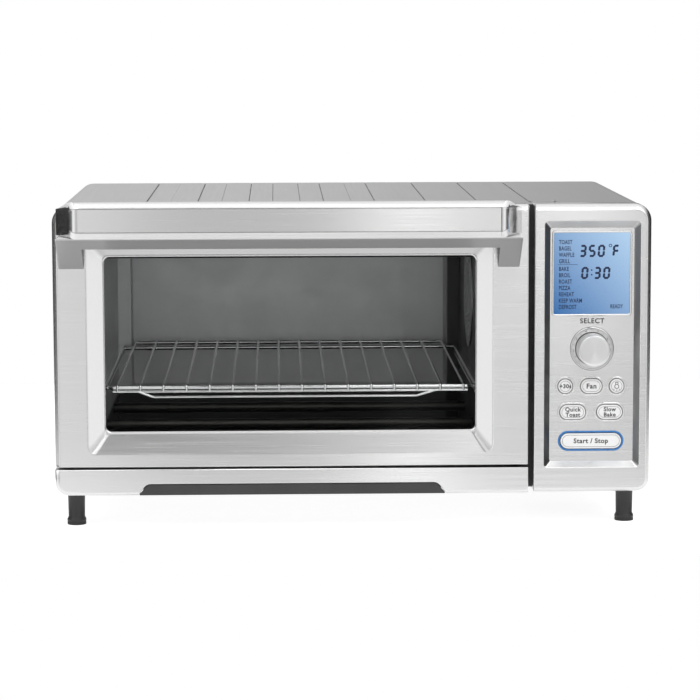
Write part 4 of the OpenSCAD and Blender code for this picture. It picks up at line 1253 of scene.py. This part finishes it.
def build_world():
    """A world that is bright in front and above, dim at the sides, and white to the camera."""
    world = bpy.data.worlds.new("studio")
    bpy.context.scene.world = world
    world.use_nodes = True
    nodes = Nodes(world.node_tree)
    x, y, z = nodes.axes("Generated")
    side = nodes.math("ABSOLUTE", x)
    front = nodes.product(nodes.remap(side, 1.0, 1.85, 0.35, 0.65),
                          nodes.remap(side, 1.0, 0.15, 0.86, 0.94))
    wings = nodes.math("MAXIMUM", nodes.remap(side, 1.0, 0.14, 0.25, 0.5),
                       nodes.remap(side, 0.0, 0.34, 0.84, 0.93))
    right = nodes.remap(x, 1.16, 0.4, 0.0, 0.2)
    below = nodes.remap(z, 0.1, 1.0, -0.05, 0.04)
    around = nodes.blend(nodes.rise(y, -0.1, 0.2), front, nodes.product(wings, right, below))
    spread = nodes.blend(nodes.rise(z, 0.45, 0.6), around, overhead_bands(nodes, x, y, z))
    height = nodes.greys(nodes.rise(z, -1.0, 1.0), (0.0, 0.75), (0.47, WALL), (0.56, WALL),
                         (0.72, WALL * 0.75), (0.9, 1.05), (1.0, 1.1))
    seen = nodes.add("Mix", {"Factor": 1.0, "A": height, "B": spread}, data_type="RGBA",
                     blend_type="MULTIPLY")
    camera_ray = nodes.add("LightPath").outputs["Is Camera Ray"]
    white = nodes.add("Mix", {"Factor": camera_ray, "A": seen.outputs["Result"], "B": (1, 1, 1, 1)},
                      data_type="RGBA")
    nodes.put(nodes.find("BACKGROUND"), {"Color": white.outputs["Result"], "Strength": 1.0})


def overhead_bands(nodes, x, y, z):
    """Light and dark bands high up in front of the oven, for surfaces that lean back."""
    bands = nodes.greys(nodes.rise(x, -0.25, 0.25), (0.0, 0.8), (0.27, 0.8), (0.36, 0.0), (0.51, 0.0),
                        (0.59, 0.6), (0.64, 1.0), (1.0, 1.0))
    plain = nodes.math("MAXIMUM", nodes.rise(z, 0.86, 0.97), nodes.rise(y, -0.3, 0.0))
    return nodes.blend(plain, nodes.remap(bands, 0.0, 2.8, 0.0, 1.0), 1.0)


def softbox(name, place, aim, width, height, power):
    """A rectangular lamp at a place, facing a point."""
    lamp = bpy.data.lights.new(name, "AREA")
    lamp.shape = "RECTANGLE"
    lamp.size = width
    lamp.size_y = height
    lamp.energy = power
    obj = placed(name, lamp)
    obj.location = place
    obj.rotation_euler = (Vector(aim) - Vector(place)).to_track_quat("-Z", "Y").to_euler()


def strip(name, x, width, brightness, low=-1.0):
    """Tall soft strip in front of the oven that the brushed faces pick up as a lighter band."""
    high = 1.6
    mid = (high + low) / 2
    height = high - low
    power = brightness * math.pi * width * height
    softbox(name, (x, FACE_Y - 3.2, mid), (x, 0, mid), width, height, power)


def build_camera():
    """Camera in front of the oven, a little to the left and above, with a long lens."""
    yaw, pitch, roll = 0.0271, 0.1212, -0.0027
    stand = Vector((-0.0674, FACE_Y - 2.3896, 0.4516))
    fwd = Vector((math.sin(yaw) * math.cos(pitch), math.cos(yaw) * math.cos(pitch), -math.sin(pitch)))
    level = Vector((math.cos(yaw), -math.sin(yaw), 0))
    above = level.cross(fwd)
    right = level * math.cos(roll) + above * math.sin(roll)
    up = above * math.cos(roll) - level * math.sin(roll)
    data = bpy.data.cameras.new("camera")
    data.lens = 139.2
    data.sensor_width = 36
    data.clip_end = 20
    cam = placed("camera", data)
    pose = Matrix((right, up, -fwd)).transposed().to_4x4()
    pose.translation = stand
    cam.matrix_world = pose
    bpy.context.scene.camera = cam


build_floor()
build_world()
strip("strip_left", -0.56, 0.36, 0.45)
strip("strip_right", 0.21, 0.1, 1.9)
strip("strip_far_right", 0.56, 0.17, 3.0, 0.25)
softbox("key_top", (-0.2, -0.35, 1.9), (0, 0, 0.15), 1.2, 0.7, 2)
build_camera()
bpy.context.scene.view_settings.view_transform = "Standard"
